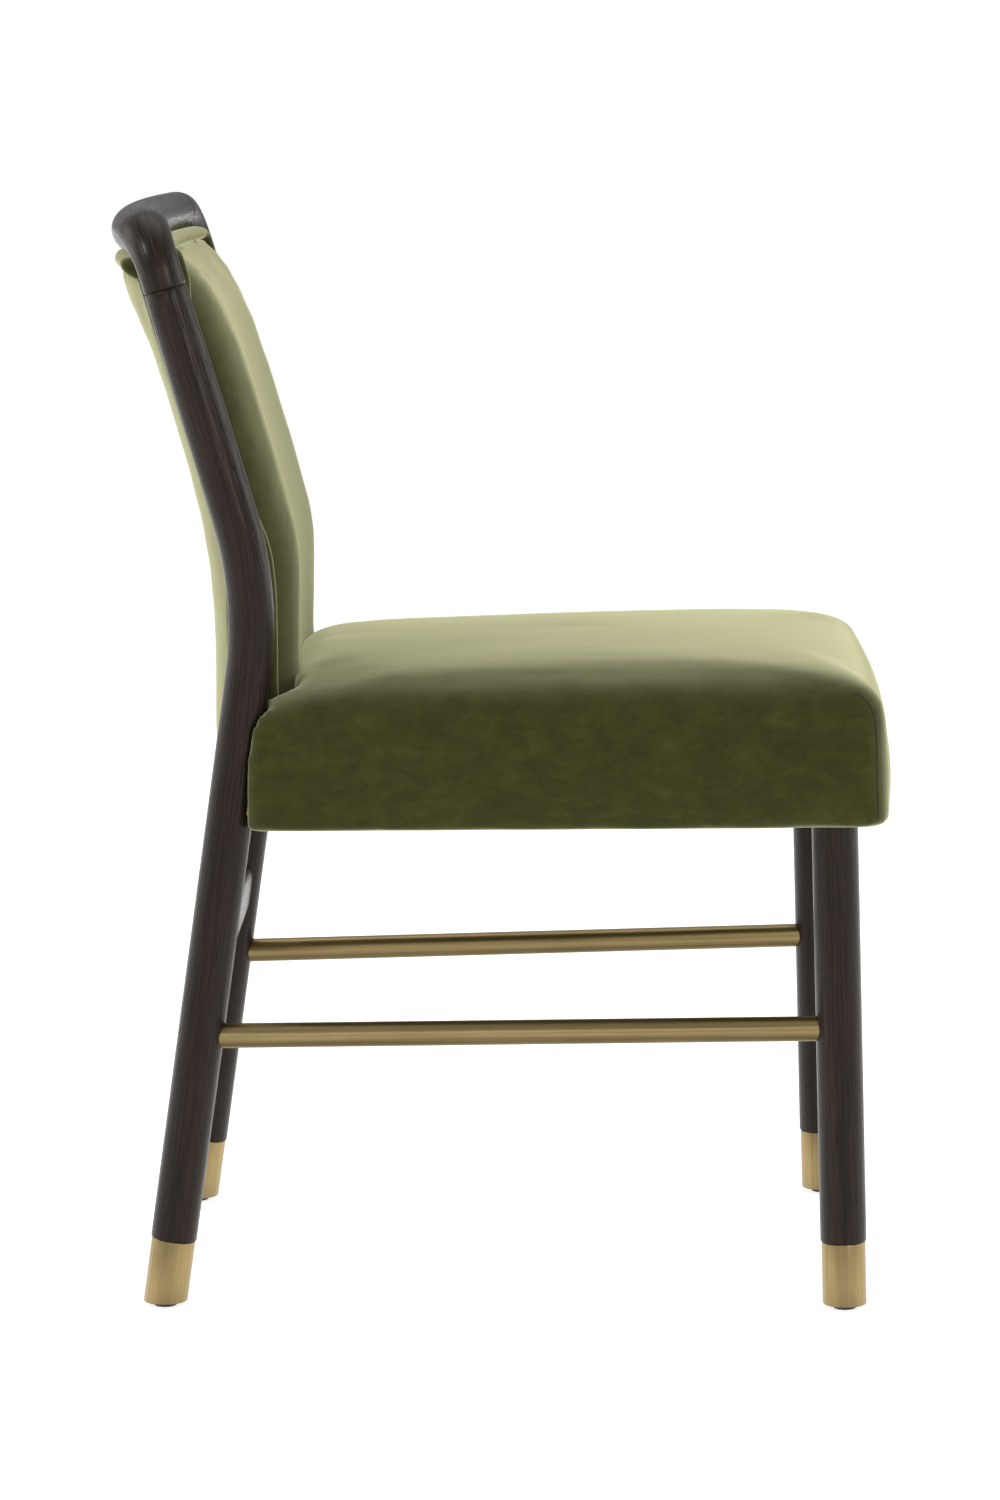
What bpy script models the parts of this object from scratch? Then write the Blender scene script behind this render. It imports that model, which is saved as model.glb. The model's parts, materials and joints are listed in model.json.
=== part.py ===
"""Upholstered dining chair: turned dark-wood frame, velvet seat and back,
brass side stretchers and brass leg ferrules on black glides.

Frame: metres, +Z up, floor at z = 0, the chair faces -Y, X is lateral
(the sitter's right is -X).  Origin on the floor under the middle of the box.
"""
import bpy
import bmesh
import math
from mathutils import Vector, Matrix

# ---------------------------------------------------------------- dimensions
Y_SHIFT = 0.0022         # moves the modelled frame so the box is centred on y = 0
GAP = 0.0003             # clearance between touching pieces

R_LEG = 0.018            # leg and post radius
R_POST_TOP = 0.0168      # post radius at the corner block joint
X_REAR = 0.195           # rear post centre, either side
X_FRONT = 0.2165         # front leg centre, either side

# rear post centre line, side view: raked leg, bend, reclined upper post
FOOT_Y = 0.2684
RAKE = 0.1464            # dy/dz of the lower leg (towards the front going up)
LEAN = 0.290             # dy/dz of the upper post (towards the back going up)
LEAN_Y0 = 0.0235
BEND_R = 0.31
Z_POST_TOP = 0.7988      # post to corner block joint, on the centre line

# front leg centre line
FRONT_FOOT_Y = -0.2657
FRONT_RAKE = 0.0198
Z_LEG_TOP = 0.4515

# ferrules and glides
R_FERRULE = 0.0172
R_TENON = 0.0148
FERRULE_TOP = 0.0535
FERRULE_BOTTOM = 0.0036
R_GLIDE = 0.009
R_STEM = 0.004

# crest
CREST_Z = 0.8410
BOW = 0.020              # how far the back curves backwards at its middle
CREST_A = 0.0210         # half depth of the crest section
CREST_B = 0.0172         # half height of the crest section
X_CREST_END = 0.150
CORNER_R = 0.0345        # bend radius of the corner block's centre line

# side stretchers (brass tube) and rear stretcher (wood)
R_TUBE = 0.0097
TUBE_WALL = 0.0016
Z_TUBE_REAR = 0.2150
Z_TUBE_FRONT = 0.2222
Z_BACK_STRETCHER = 0.2705
BACK_STRETCHER_T = 0.022
BACK_STRETCHER_H = 0.043

# seat
SEAT_FRONT_Y = -0.300
SEAT_REAR_Y = 0.1975
SEAT_BACK_Y = 0.157      # rear face of the cushion between the posts
SEAT_HALF_FRONT = 0.2465
SEAT_HALF_REAR = 0.2215
SEAT_Z0 = 0.3832
SEAT_TILT = 0.009        # dz/dy, the seat rises to the front
RAIL_T = 0.024
RAIL_Z0 = 0.3925
RAIL_Z1 = 0.4515
DECK_Z0 = 0.4535
DECK_T = 0.0120

# back upholstery
PANEL_LOW_Y = 0.1925     # the lower back is upright
PANEL_HALF_T = 0.0050
PANEL_HALF_W = 0.1752
PANEL_Z0 = 0.394
ROLL_R = 0.0068
ROLL_V = 0.0130
ROLL_INSET = 0.0075

# ---------------------------------------------------------------- scene setup
for ob in list(bpy.data.objects):
    bpy.data.objects.remove(ob, do_unlink=True)


def collection(name):
    col = bpy.data.collections.get(name)
    if col is None:
        col = bpy.data.collections.new(name)
        bpy.context.scene.collection.children.link(col)
    return col


CHAIR = collection("dining_chair")
CUTTERS = collection("cutters")


def material(name, color, rough, metal=0.0):
    m = bpy.data.materials.new(name)
    m.use_nodes = True
    b = m.node_tree.nodes["Principled BSDF"]
    b.inputs["Base Color"].default_value = (color[0], color[1], color[2], 1.0)
    b.inputs["Roughness"].default_value = rough
    b.inputs["Metallic"].default_value = metal
    m.diffuse_color = (color[0], color[1], color[2], 1.0)
    return m


DARK_WOOD = ((0.030, 0.023, 0.020), 0.38, 0.0)
BRASS = ((0.52, 0.40, 0.20), 0.32, 1.0)
BLACK_PLASTIC = ((0.012, 0.012, 0.012), 0.45, 0.0)
VELVET = ((0.095, 0.115, 0.035), 0.85, 0.0)
BEECH = ((0.55, 0.40, 0.25), 0.60, 0.0)
PLYWOOD = ((0.60, 0.46, 0.30), 0.65, 0.0)
FOAM = ((0.75, 0.72, 0.60), 0.95, 0.0)
STEEL = ((0.55, 0.56, 0.58), 0.35, 1.0)
LINING = ((0.02, 0.02, 0.02), 0.95, 0.0)


def finish_object(name, mesh, finish, smooth=True, col=None):
    ob = bpy.data.objects.new(name, mesh)
    (col or CHAIR).objects.link(ob)
    mesh.materials.append(material(name + "_finish", *finish))
    if smooth:
        mesh.shade_smooth()
        mesh.set_sharp_from_angle(angle=math.radians(35))
    return ob


def cutter_object(name, mesh):
    ob = bpy.data.objects.new(name, mesh)
    CUTTERS.objects.link(ob)
    ob.hide_render = True
    ob.display_type = 'WIRE'
    return ob


def cut(target, tool, operation='DIFFERENCE'):
    mod = target.modifiers.new("cut_" + tool.name, 'BOOLEAN')
    mod.operation = operation
    mod.solver = 'EXACT'
    mod.object = tool


def P(x, y, z):
    return Vector((x, y - Y_SHIFT, z))


# ---------------------------------------------------------------- mesh helpers
def loft_mesh(name, rings, closed=False):
    """Skin through rings of equal length; caps at both ends, or a closed loop."""
    bm = bmesh.new()
    rows = [[bm.verts.new(p) for p in ring] for ring in rings]
    n = len(rows[0])
    pairs = list(zip(rows[:-1], rows[1:]))
    if closed:
        pairs.append((rows[-1], rows[0]))
    for a, b in pairs:
        for i in range(n):
            j = (i + 1) % n
            bm.faces.new((a[i], a[j], b[j], b[i]))
    if not closed:
        bm.faces.new(list(reversed(rows[0])))
        bm.faces.new(rows[-1])
    bmesh.ops.recalc_face_normals(bm, faces=bm.faces)
    mesh = bpy.data.meshes.new(name)
    bm.to_mesh(mesh)
    bm.free()
    return mesh


def frame_from(direction, side=Vector((1, 0, 0))):
    """Two unit vectors square to a direction, the first close to side."""
    d = direction.normalized()
    u = (side - d * side.dot(d)).normalized()
    return u, d.cross(u)


def circle_ring(centre, direction, r, n=20, side=Vector((1, 0, 0))):
    u, v = frame_from(direction, side)
    return [centre + u * (r * math.cos(2 * math.pi * i / n))
            + v * (r * math.sin(2 * math.pi * i / n)) for i in range(n)]


def level_ring(centre, direction, r, z, n=20, side=Vector((1, 0, 0))):
    """The same ring, slid along the direction until it lies at height z."""
    d = direction.normalized()
    return [p + d * ((z - p.z) / d.z) for p in circle_ring(centre, direction, r, n, side)]


def cylinder(name, p0, p1, r, n=16):
    """Cone primitive between two points."""
    axis = p1 - p0
    bm = bmesh.new()
    bmesh.ops.create_cone(bm, cap_ends=True, cap_tris=False, segments=n,
                          radius1=r, radius2=r, depth=axis.length)
    q = Vector((0, 0, 1)).rotation_difference(axis.normalized())
    m = Matrix.Translation((p0 + p1) / 2) @ q.to_matrix().to_4x4()
    bmesh.ops.transform(bm, matrix=m, verts=bm.verts)
    mesh = bpy.data.meshes.new(name)
    bm.to_mesh(mesh)
    bm.free()
    return mesh


def pin(name, p0, p1, r, seats, finish, n=14):
    """A round pin, and the hole it sits in, cut into each of its seats."""
    ob = finish_object(name, cylinder(name, p0, p1, r, n), finish)
    d = (p1 - p0).normalized()
    tool = cutter_object(name + "_hole",
                         cylinder(name + "_hole", p0 - d * 0.0006, p1 + d * 0.0006, r + GAP, n))
    for seat in seats:
        cut(seat, tool)
    return ob


def prism(name, outline, z0, z1):
    """Upright prism on a plan outline; the heights may follow the seat's tilt."""
    f0 = z0 if callable(z0) else (lambda x, y: z0)
    f1 = z1 if callable(z1) else (lambda x, y: z1)
    return loft_mesh(name, [[P(x, y, f0(x, y)) for x, y in outline],
                            [P(x, y, f1(x, y)) for x, y in outline]])


def soften(ob, width, segments=2, angle=40):
    mod = ob.modifiers.new("edges", 'BEVEL')
    mod.width = width
    mod.segments = segments
    mod.limit_method = 'ANGLE'
    mod.angle_limit = math.radians(angle)


# ---------------------------------------------------------------- centre lines
VERTEX_Z = (FOOT_Y - LEAN_Y0) / (RAKE + LEAN)
TURN = math.atan(RAKE) + math.atan(LEAN)
TANGENT = BEND_R * math.tan(TURN / 2)


def post_line(s):
    """Point and direction on the rear post, s measured up from its foot."""
    low = Vector((0, -RAKE, 1)).normalized()
    high = Vector((0, LEAN, 1)).normalized()
    vertex = Vector((0, FOOT_Y - RAKE * VERTEX_Z, VERTEX_Z))
    foot = Vector((0, FOOT_Y, 0))
    l1 = (vertex - foot).length - TANGENT
    arc = BEND_R * TURN
    if s <= l1:
        return foot + low * s, low
    if s >= l1 + arc:
        return vertex + high * (TANGENT + s - l1 - arc), high
    a = (s - l1) / BEND_R
    start = foot + low * l1
    inward = Vector((0, low.z, -low.y))
    centre = start + inward * BEND_R
    d = Matrix.Rotation(-a, 3, 'X') @ low
    return centre + (Matrix.Rotation(-a, 3, 'X') @ (start - centre)), d


def post_at_height(z):
    lo, hi = 0.0, 1.2
    for _ in range(50):
        mid = (lo + hi) / 2
        if post_line(mid)[0].z < z:
            lo = mid
        else:
            hi = mid
    return lo


def post_y(z):
    return post_line(post_at_height(z))[0].y


def front_leg_y(z):
    return FRONT_FOOT_Y + FRONT_RAKE * z


def bow(x):
    return BOW * (1.0 - (x / X_REAR) ** 2)


def panel_y(z):
    """Centre line of the back panel: upright below, reclined with the posts above."""
    k = 0.012
    zc = (PANEL_LOW_Y - LEAN_Y0) / LEAN
    t = (z - zc) / k
    soft = t if t > 30 else math.log1p(math.exp(t))
    return PANEL_LOW_Y + LEAN * k * soft


def panel_point(x, z, v):
    """Point of the back at lateral x, height z on its centre line, depth v (+ is rearward)."""
    e = 0.0005
    slope = (panel_y(z + e) - panel_y(z - e)) / (2 * e)
    c = 1.0 / math.sqrt(1 + slope * slope)
    return P(x, panel_y(z) + bow(x) + v * c, z - v * slope * c)


def sides():
    return (("right", -1.0), ("left", 1.0))


HIGH = Vector((0, LEAN, 1)).normalized()       # up the reclined post
BACK_N = Vector((0, HIGH.z, -HIGH.y))          # square to it, towards the back

# ---------------------------------------------------------------- rear posts
posts = {}
post_cutters = {}
S_TOP = post_at_height(Z_POST_TOP)
S_JOINT = post_at_height(FERRULE_TOP)
for side, sx in sides():
    def at(s, sx=sx):
        c, d = post_line(s)
        return P(sx * X_REAR, c.y, c.z), d

    def radius(s):
        start = S_TOP - 0.095
        if s <= start:
            return R_LEG
        return R_LEG + (R_POST_TOP - R_LEG) * (s - start) / (S_TOP - start)

    rings = []
    c, d = at(S_JOINT)
    rings.append(level_ring(c, d, R_TENON - GAP, FERRULE_BOTTOM + 0.0030))
    rings.append(circle_ring(c + d * GAP, d, R_TENON - GAP))
    rings.append(circle_ring(c + d * GAP, d, R_LEG - 0.0007))
    rings.append(circle_ring(c + d * 0.0011, d, R_LEG))
    count = 15
    for i in range(1, count + 1):
        s = S_JOINT + (S_TOP - S_JOINT) * i / count
        c, d = at(s)
        rings.append(circle_ring(c, d, radius(s)))
    name = "rear_post_" + side
    posts[side] = finish_object(name, loft_mesh(name, rings), DARK_WOOD)

    # the same post, slightly fat, trims everything that butts against it
    rings = []
    for i in range(1, count + 1):
        s = S_JOINT + (S_TOP - S_JOINT) * i / count
        c, d = at(s)
        rings.append(circle_ring(c, d, radius(s) + GAP))
    post_cutters[side] = cutter_object(name + "_clearance", loft_mesh(name + "_clearance", rings))

# ---------------------------------------------------------------- front legs
legs = {}
leg_cutters = {}
FRONT_D = Vector((0, FRONT_RAKE, 1)).normalized()
for side, sx in sides():
    def axis_point(z, sx=sx):
        return P(sx * X_FRONT, front_leg_y(z), z)

    c = axis_point(FERRULE_TOP)
    rings = [level_ring(c, FRONT_D, R_TENON - GAP, FERRULE_BOTTOM + 0.0030),
             circle_ring(c + FRONT_D * GAP, FRONT_D, R_TENON - GAP),
             circle_ring(c + FRONT_D * GAP, FRONT_D, R_LEG - 0.0007),
             circle_ring(c + FRONT_D * 0.0011, FRONT_D, R_LEG),
             circle_ring(axis_point(0.25), FRONT_D, R_LEG),
             level_ring(axis_point(Z_LEG_TOP), FRONT_D, R_LEG, Z_LEG_TOP)]
    name = "front_leg_" + side
    legs[side] = finish_object(name, loft_mesh(name, rings), DARK_WOOD)
    leg_cutters[side] = cutter_object(
        name + "_clearance",
        loft_mesh(name + "_clearance", [circle_ring(axis_point(0.15), FRONT_D, R_LEG + GAP),
                                        level_ring(axis_point(0.453), FRONT_D, R_LEG + GAP, 0.453)]))

# ---------------------------------------------------------------- ferrules and glides
for place, wood in (("rear", posts), ("front", legs)):
    for side, sx in sides():
        if place == "rear":
            d = post_line(0.02)[1]
            top = P(sx * X_REAR, FOOT_Y - RAKE * FERRULE_TOP, FERRULE_TOP)
            foot = P(sx * X_REAR, FOOT_Y - RAKE * FERRULE_BOTTOM, FERRULE_BOTTOM)
        else:
            d = FRONT_D
            top = P(sx * X_FRONT, front_leg_y(FERRULE_TOP), FERRULE_TOP)
            foot = P(sx * X_FRONT, front_leg_y(FERRULE_BOTTOM), FERRULE_BOTTOM)
        up = Vector((0, 0, 1))
        floor_z = FERRULE_BOTTOM + 0.0022
        rings = [level_ring(foot, d, R_FERRULE - 0.0010, FERRULE_BOTTOM),
                 level_ring(foot, d, R_FERRULE, FERRULE_BOTTOM + 0.0010),
                 circle_ring(top - d * 0.0005, d, R_FERRULE),
                 circle_ring(top, d, R_FERRULE - 0.0005),
                 circle_ring(top, d, R_TENON),
                 level_ring(foot, d, R_TENON, floor_z),
                 [Vector((p.x, p.y, floor_z)) for p in circle_ring(foot, up, R_STEM + GAP)],
                 [Vector((p.x, p.y, FERRULE_BOTTOM)) for p in circle_ring(foot, up, R_STEM + GAP)]]
        name = "ferrule_" + place + "_" + side
        finish_object(name, loft_mesh(name, rings, closed=True), BRASS)

        # glide: moulded pad with a stem pressed up into the leg
        foot0 = Vector((foot.x, foot.y, 0.0))
        rings = [circle_ring(foot0, up, R_GLIDE - 0.0010),
                 circle_ring(foot0 + up * 0.0010, up, R_GLIDE),
                 circle_ring(foot0 + up * (FERRULE_BOTTOM - GAP), up, R_GLIDE),
                 circle_ring(foot0 + up * (FERRULE_BOTTOM - GAP), up, R_STEM),
                 circle_ring(foot0 + up * 0.0180, up, R_STEM)]
        name = "glide_" + place + "_" + side
        finish_object(name, loft_mesh(name, rings), BLACK_PLASTIC)
        hole = cutter_object(name + "_hole",
                             cylinder(name + "_hole", foot0, foot0 + up * 0.0186, R_STEM + GAP, 20))
        cut(wood[side], hole)

# ---------------------------------------------------------------- corner blocks and crest


def frame_ring(centre, direction, a, b, power, n=20):
    """Superellipse ring square to direction: a is the half depth, b the other half."""
    d = direction.normalized()
    u = (BACK_N - d * BACK_N.dot(d)).normalized()
    w = d.cross(u)
    pts = []
    for i in range(n):
        t = 2 * math.pi * i / n
        c, s = math.cos(t), math.sin(t)
        e = 2.0 / power
        pts.append(centre + u * (a * math.copysign(abs(c) ** e, c))
                   + w * (b * math.copysign(abs(s) ** e, s)))
    return pts


POST_TOP = post_line(S_TOP)[0]
RISE = (CREST_Z - POST_TOP.z) / HIGH.z            # joint to crest centre, up the post
CREST_P = POST_TOP + HIGH * RISE                  # crest centre in the side view
CREST_POWER = 2.15


def smooth(t):
    t = max(0.0, min(1.0, t))
    return t * t * (3 - 2 * t)


def crest_centre(x):
    return P(x, CREST_P.y + bow(x), CREST_P.z)


corners = {}
for side, sx in sides():
    path = []
    straight = RISE - CORNER_R
    for s in (GAP, straight * 0.5, straight):
        path.append((Vector((sx * X_REAR, POST_TOP.y, POST_TOP.z)) + HIGH * s, HIGH.copy()))
    centre = Vector((sx * (X_REAR - CORNER_R), POST_TOP.y, POST_TOP.z)) + HIGH * straight
    steps = 7
    for i in range(1, steps + 1):
        a = math.pi / 2 * i / steps
        p = centre + Vector((sx * CORNER_R * math.cos(a), 0, 0)) + HIGH * (CORNER_R * math.sin(a))
        d = Vector((-sx * math.sin(a), 0, 0)) + HIGH * math.cos(a)
        path.append((p, d))
    for x in (X_REAR - CORNER_R - 0.009, X_CREST_END + GAP):
        p = Vector((sx * x, CREST_P.y, CREST_P.z))
        path.append((p, Vector((-sx, 0, 0))))
    # arc length drives the change from the post's circle to the crest's section
    lengths = [0.0]
    for (a, _), (b, _) in zip(path[:-1], path[1:]):
        lengths.append(lengths[-1] + (b - a).length)
    rings = []
    for (p, d), l in zip(path, lengths):
        t = smooth((l - 0.012) / (lengths[-1] - 0.012))
        a = R_POST_TOP + (CREST_A - R_POST_TOP) * t
        b = R_POST_TOP + (CREST_B - R_POST_TOP) * t
        power = 2.0 + (CREST_POWER - 2.0) * t
        shift = bow(min(abs(p.x), X_REAR))
        rings.append([q + Vector((0, shift - Y_SHIFT, 0)) for q in frame_ring(p, d, a, b, power)])
    name = "corner_block_" + side
    corners[side] = finish_object(name, loft_mesh(name, rings), DARK_WOOD)

rings = []
n_crest = 10
for i in range(n_crest + 1):
    x = -X_CREST_END + 2 * X_CREST_END * i / n_crest
    rings.append(frame_ring(crest_centre(x), Vector((1, 0, 0)), CREST_A, CREST_B, CREST_POWER))
crest = finish_object("crest_rail", loft_mesh("crest_rail", rings), DARK_WOOD)

for side, sx in sides():
    base = P(sx * X_REAR, POST_TOP.y, POST_TOP.z)
    pin("post_dowel_" + side, base - HIGH * 0.022, base + HIGH * 0.020, 0.005,
        (posts[side], corners[side]), BEECH)
    yy = crest_centre(X_CREST_END)
    a = Vector((sx * (X_CREST_END - 0.020), yy.y, yy.z))
    b = Vector((sx * (X_CREST_END + 0.018), yy.y, yy.z))
    pin("crest_dowel_" + side, a, b, 0.005, (crest, corners[side]), BEECH)

# ---------------------------------------------------------------- rear stretcher
zc = Z_BACK_STRETCHER
yc = FOOT_Y - RAKE * zc
low = Vector((0, -RAKE, 1)).normalized()
across = Vector((0, low.z, -low.y))
outline = []
for i in range(20):
    t = 2 * math.pi * i / 20
    c, s = math.cos(t), math.sin(t)
    outline.append(across * (BACK_STRETCHER_T / 2 * math.copysign(abs(c) ** 0.5, c))
                   + low * (BACK_STRETCHER_H / 2 * math.copysign(abs(s) ** 0.5, s)))
rings = []
for x in (-X_REAR, X_REAR):
    rings.append([P(x, yc, zc) + o for o in outline])
back_stretcher = finish_object("rear_stretcher", loft_mesh("rear_stretcher", rings), DARK_WOOD)
for side, sx in sides():
    cut(back_stretcher, post_cutters[side])
    a = P(sx * (X_REAR - 0.040), yc, zc)
    b = P(sx * (X_REAR - 0.004), yc, zc)
    pin("rear_stretcher_dowel_" + side, a, b, 0.005, (back_stretcher, posts[side]), BEECH)

# ---------------------------------------------------------------- side stretchers
for side, sx in sides():
    rear_c = P(sx * X_REAR, FOOT_Y - RAKE * Z_TUBE_REAR, Z_TUBE_REAR)
    front_c = P(sx * X_FRONT, front_leg_y(Z_TUBE_FRONT), Z_TUBE_FRONT)
    d = (front_c - rear_c).normalized()
    up = Vector((0, 0, 1))
    n = 20
    outer, inner = R_TUBE, R_TUBE - TUBE_WALL
    name = "side_stretcher_" + side
    rings = [circle_ring(rear_c, d, inner, n, up), circle_ring(rear_c, d, outer, n, up),
             circle_ring(front_c, d, outer, n, up), circle_ring(front_c, d, inner, n, up)]
    tube = finish_object(name, loft_mesh(name, rings, closed=True), BRASS)
    cut(tube, post_cutters[side])
    cut(tube, leg_cutters[side])
    # turned spigots carry the tube and sit in blind holes in the legs
    for place, c0, dd, wood in (("rear", rear_c, d, posts[side]), ("front", front_c, -d, legs[side])):
        a = c0 + dd * 0.004
        b = c0 + dd * 0.046
        nm = "stretcher_spigot_" + place + "_" + side
        spigot = finish_object(nm, cylinder(nm, a, b, inner - GAP, 20), STEEL)
        tool = cutter_object(nm + "_hole",
                             cylinder(nm + "_hole", a - dd * 0.0006, c0 + dd * 0.030, inner, 20))
        cut(wood, tool)

# ---------------------------------------------------------------- seat frame


def tilt(z):
    """Height that follows the seat's slight rise to the front."""
    return lambda x, y: z - SEAT_TILT * (y + 0.06)


def side_x(y, offset=0.0):
    """Centre line of a side rail in plan."""
    t = (y - front_leg_y(0.42)) / (0.205 - front_leg_y(0.42))
    return X_FRONT + (X_REAR - X_FRONT) * t + offset


FRONT_RAIL_Y = -0.2590
rails = {}
h = RAIL_T / 2
outline = [(-X_FRONT, FRONT_RAIL_Y - h), (X_FRONT, FRONT_RAIL_Y - h),
           (X_FRONT, FRONT_RAIL_Y + h), (-X_FRONT, FRONT_RAIL_Y + h)]
rails["front"] = finish_object("seat_rail_front",
                               prism("seat_rail_front", outline, tilt(RAIL_Z0 + 0.001), RAIL_Z1), BEECH)
for side, sx in sides():
    cut(rails["front"], leg_cutters[side])

for side, sx in sides():
    y0, y1 = -0.250, 0.205
    o = [(side_x(y0) - h, y0), (side_x(y0) + h, y0), (side_x(y1) + h, y1), (side_x(y1) - h, y1)]
    o = [(sx * x, y) for x, y in o]
    name = "seat_rail_" + side
    rails[side] = finish_object(name, prism(name, o, tilt(RAIL_Z0 + 0.001), RAIL_Z1), BEECH)
    cut(rails[side], leg_cutters[side])
    cut(rails[side], post_cutters[side])
    # the front rail's end stops the side rail: trim a hair off around it
    trim = [(sx * x, y) for x, y in ((0.10, -0.30), (0.30, -0.30), (0.30, FRONT_RAIL_Y + h + GAP),
                                     (0.10, FRONT_RAIL_Y + h + GAP))]
    tool = cutter_object(name + "_trim", prism(name + "_trim", trim, 0.36, 0.50))
    cut(rails[side], tool)

y0, y1 = 0.128, 0.150
xr0, xr1 = side_x(y0) - h - GAP, side_x(y1) - h - GAP
rails["rear"] = finish_object(
    "seat_rail_rear",
    prism("seat_rail_rear", [(-xr0, y0), (xr0, y0), (xr1, y1), (-xr1, y1)],
          tilt(RAIL_Z0 + 0.001), RAIL_Z1), BEECH)

# dowels between rails and legs
for side, sx in sides():
    z = 0.408
    a = P(sx * (X_FRONT - 0.045), FRONT_RAIL_Y + 0.001, z)
    b = P(sx * (X_FRONT - 0.006), FRONT_RAIL_Y + 0.001, z)
    pin("front_rail_dowel_" + side, a, b, 0.004, (rails["front"], legs[side]), BEECH)
    z = 0.425
    yp = post_y(z)
    a = P(sx * side_x(yp - 0.048), yp - 0.048, z)
    b = P(sx * side_x(yp - 0.005), yp - 0.005, z)
    pin("side_rail_dowel_" + side, a, b, 0.004, (rails[side], posts[side]), BEECH)
    xr = side_x(0.139)
    a = P(sx * (xr - 0.040), 0.139, z)
    b = P(sx * (xr + 0.004), 0.139, z)
    pin("rear_rail_dowel_" + side, a, b, 0.004, (rails["rear"], rails[side]), BEECH)

# corner braces, mitred to the rails, each with a bolt into the front leg
for side, sx in sides():
    yf = FRONT_RAIL_Y + h + GAP
    o = [(0.112, yf), (0.142, yf), (side_x(-0.188) - h - GAP, -0.188), (side_x(-0.158) - h - GAP, -0.158)]
    o = [(sx * x, y) for x, y in o]
    name = "corner_brace_front_" + side
    brace = finish_object(name, prism(name, o, 0.4000, 0.4460), BEECH)
    z = 0.434
    leg_c = P(sx * X_FRONT, front_leg_y(z), z)
    mid = P(sx * (0.112 + side_x(-0.158) - h) / 2, (yf - 0.158) / 2, z)
    dd = (leg_c - mid).normalized()
    bolt = finish_object("leg_bolt_" + side,
                         cylinder("leg_bolt_" + side, mid - dd * 0.014, leg_c - dd * 0.004, 0.003, 14), STEEL)
    tool = cutter_object("leg_bolt_hole_" + side,
                         cylinder("leg_bolt_hole_" + side, mid - dd * 0.030, leg_c - dd * 0.0034,
                                  0.003 + GAP, 14))
    for seat in (brace, legs[side], rails[side], rails["front"]):
        cut(seat, tool)
    a, b = mid - dd * 0.0065, mid - dd * 0.0007
    u, v = frame_from(dd, Vector((0, 0, 1)))
    nut_rings = [[q for q in circle_ring(c, dd, 0.0066, 6, Vector((0, 0, 1)))] for c in (a, b)]
    bore = [[q for q in circle_ring(c, dd, 0.003 + GAP, 6, Vector((0, 0, 1)))] for c in (b, a)]
    nut = finish_object("leg_nut_" + side,
                        loft_mesh("leg_nut_" + side,
                                  [circle_ring(a, dd, 0.0066, 12, Vector((0, 0, 1))),
                                   circle_ring(b, dd, 0.0066, 12, Vector((0, 0, 1))),
                                   circle_ring(b, dd, 0.0035, 12, Vector((0, 0, 1))),
                                   circle_ring(a, dd, 0.0035, 12, Vector((0, 0, 1)))], closed=True), STEEL)
    # rear glue block in the corner of rear rail and side rail
    yb = 0.128 - GAP
    o = [(side_x(yb) - h - GAP - 0.040, yb), (side_x(yb) - h - GAP - 0.0003, yb),
         (side_x(yb - 0.040) - h - GAP, yb - 0.040)]
    o = [(sx * x, y) for x, y in o]
    name = "corner_brace_rear_" + side
    finish_object(name, prism(name, o, 0.4000, 0.4460), BEECH)

# ---------------------------------------------------------------- seat outline


def seat_outline(inset, r_front=0.016, r_rear=0.010, y_rear=None, n_arc=5, bow_front=0.004):
    """Tapered plan outline, moved inwards by inset, with rounded corners."""
    yr = (SEAT_REAR_Y if y_rear is None else y_rear) - (inset if y_rear is None else 0.0)
    yf = SEAT_FRONT_Y + inset

    def half(y):
        t = (y - SEAT_FRONT_Y) / (SEAT_REAR_Y - SEAT_FRONT_Y)
        return SEAT_HALF_FRONT + (SEAT_HALF_REAR - SEAT_HALF_FRONT) * t - inset

    corner = [(half(yf), yf, r_front, -90), (half(yr), yr, r_rear, 0),
              (-half(yr), yr, r_rear, 90), (-half(yf), yf, r_front, 180)]
    pts = []
    for k, (cx, cy, r, start) in enumerate(corner):
        r = max(r - inset * 0.35, 0.003)
        sx = 1 if cx > 0 else -1
        sy = 1 if cy > 0.0 else -1
        ox, oy = cx - sx * r, cy - sy * r
        for i in range(n_arc + 1):
            a = math.radians(start + 90.0 * i / n_arc)
            pts.append((ox + r * math.cos(a), oy + r * math.sin(a)))
        # points along the straight run to the next corner
        nx, ny, nr, _ = corner[(k + 1) % 4]
        a_end = math.radians(start + 90.0)
        p_end = (ox + r * math.cos(a_end), oy + r * math.sin(a_end))
        nsx = 1 if nx > 0 else -1
        nsy = 1 if ny > 0.0 else -1
        nrr = max(nr - inset * 0.35, 0.003)
        q = (nx - nsx * nrr + nrr * math.cos(a_end), ny - nsy * nrr + nrr * math.sin(a_end))
        for i in range(1, 4):
            t = i / 4.0
            pts.append((p_end[0] + (q[0] - p_end[0]) * t, p_end[1] + (q[1] - p_end[1]) * t))
    out = []
    for x, y in pts:
        if y < yf + 0.02:
            w = max(0.0, 1.0 - (x / SEAT_HALF_FRONT) ** 2) * max(0.0, 1 - (y - yf) / 0.02)
            y -= bow_front * w
        out.append((x, y))
    return out


# cushion: foam and velvet, boxed sides, crowned top
profile = [(0.006, 0.0), (0.0015, 0.0015), (0.0, 0.006), (0.0, 0.083), (0.0015, 0.094),
           (0.006, 0.1025), (0.014, 0.1085), (0.030, 0.1145), (0.065, 0.1215), (0.115, 0.1270),
           (0.165, 0.1300)]
rings = []
for inset, rise in profile:
    f = tilt(SEAT_Z0 + rise)
    rings.append([P(x, y, f(x, y)) for x, y in seat_outline(inset)])
cushion = finish_object("seat_cushion", loft_mesh("seat_cushion", rings), VELVET)

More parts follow.
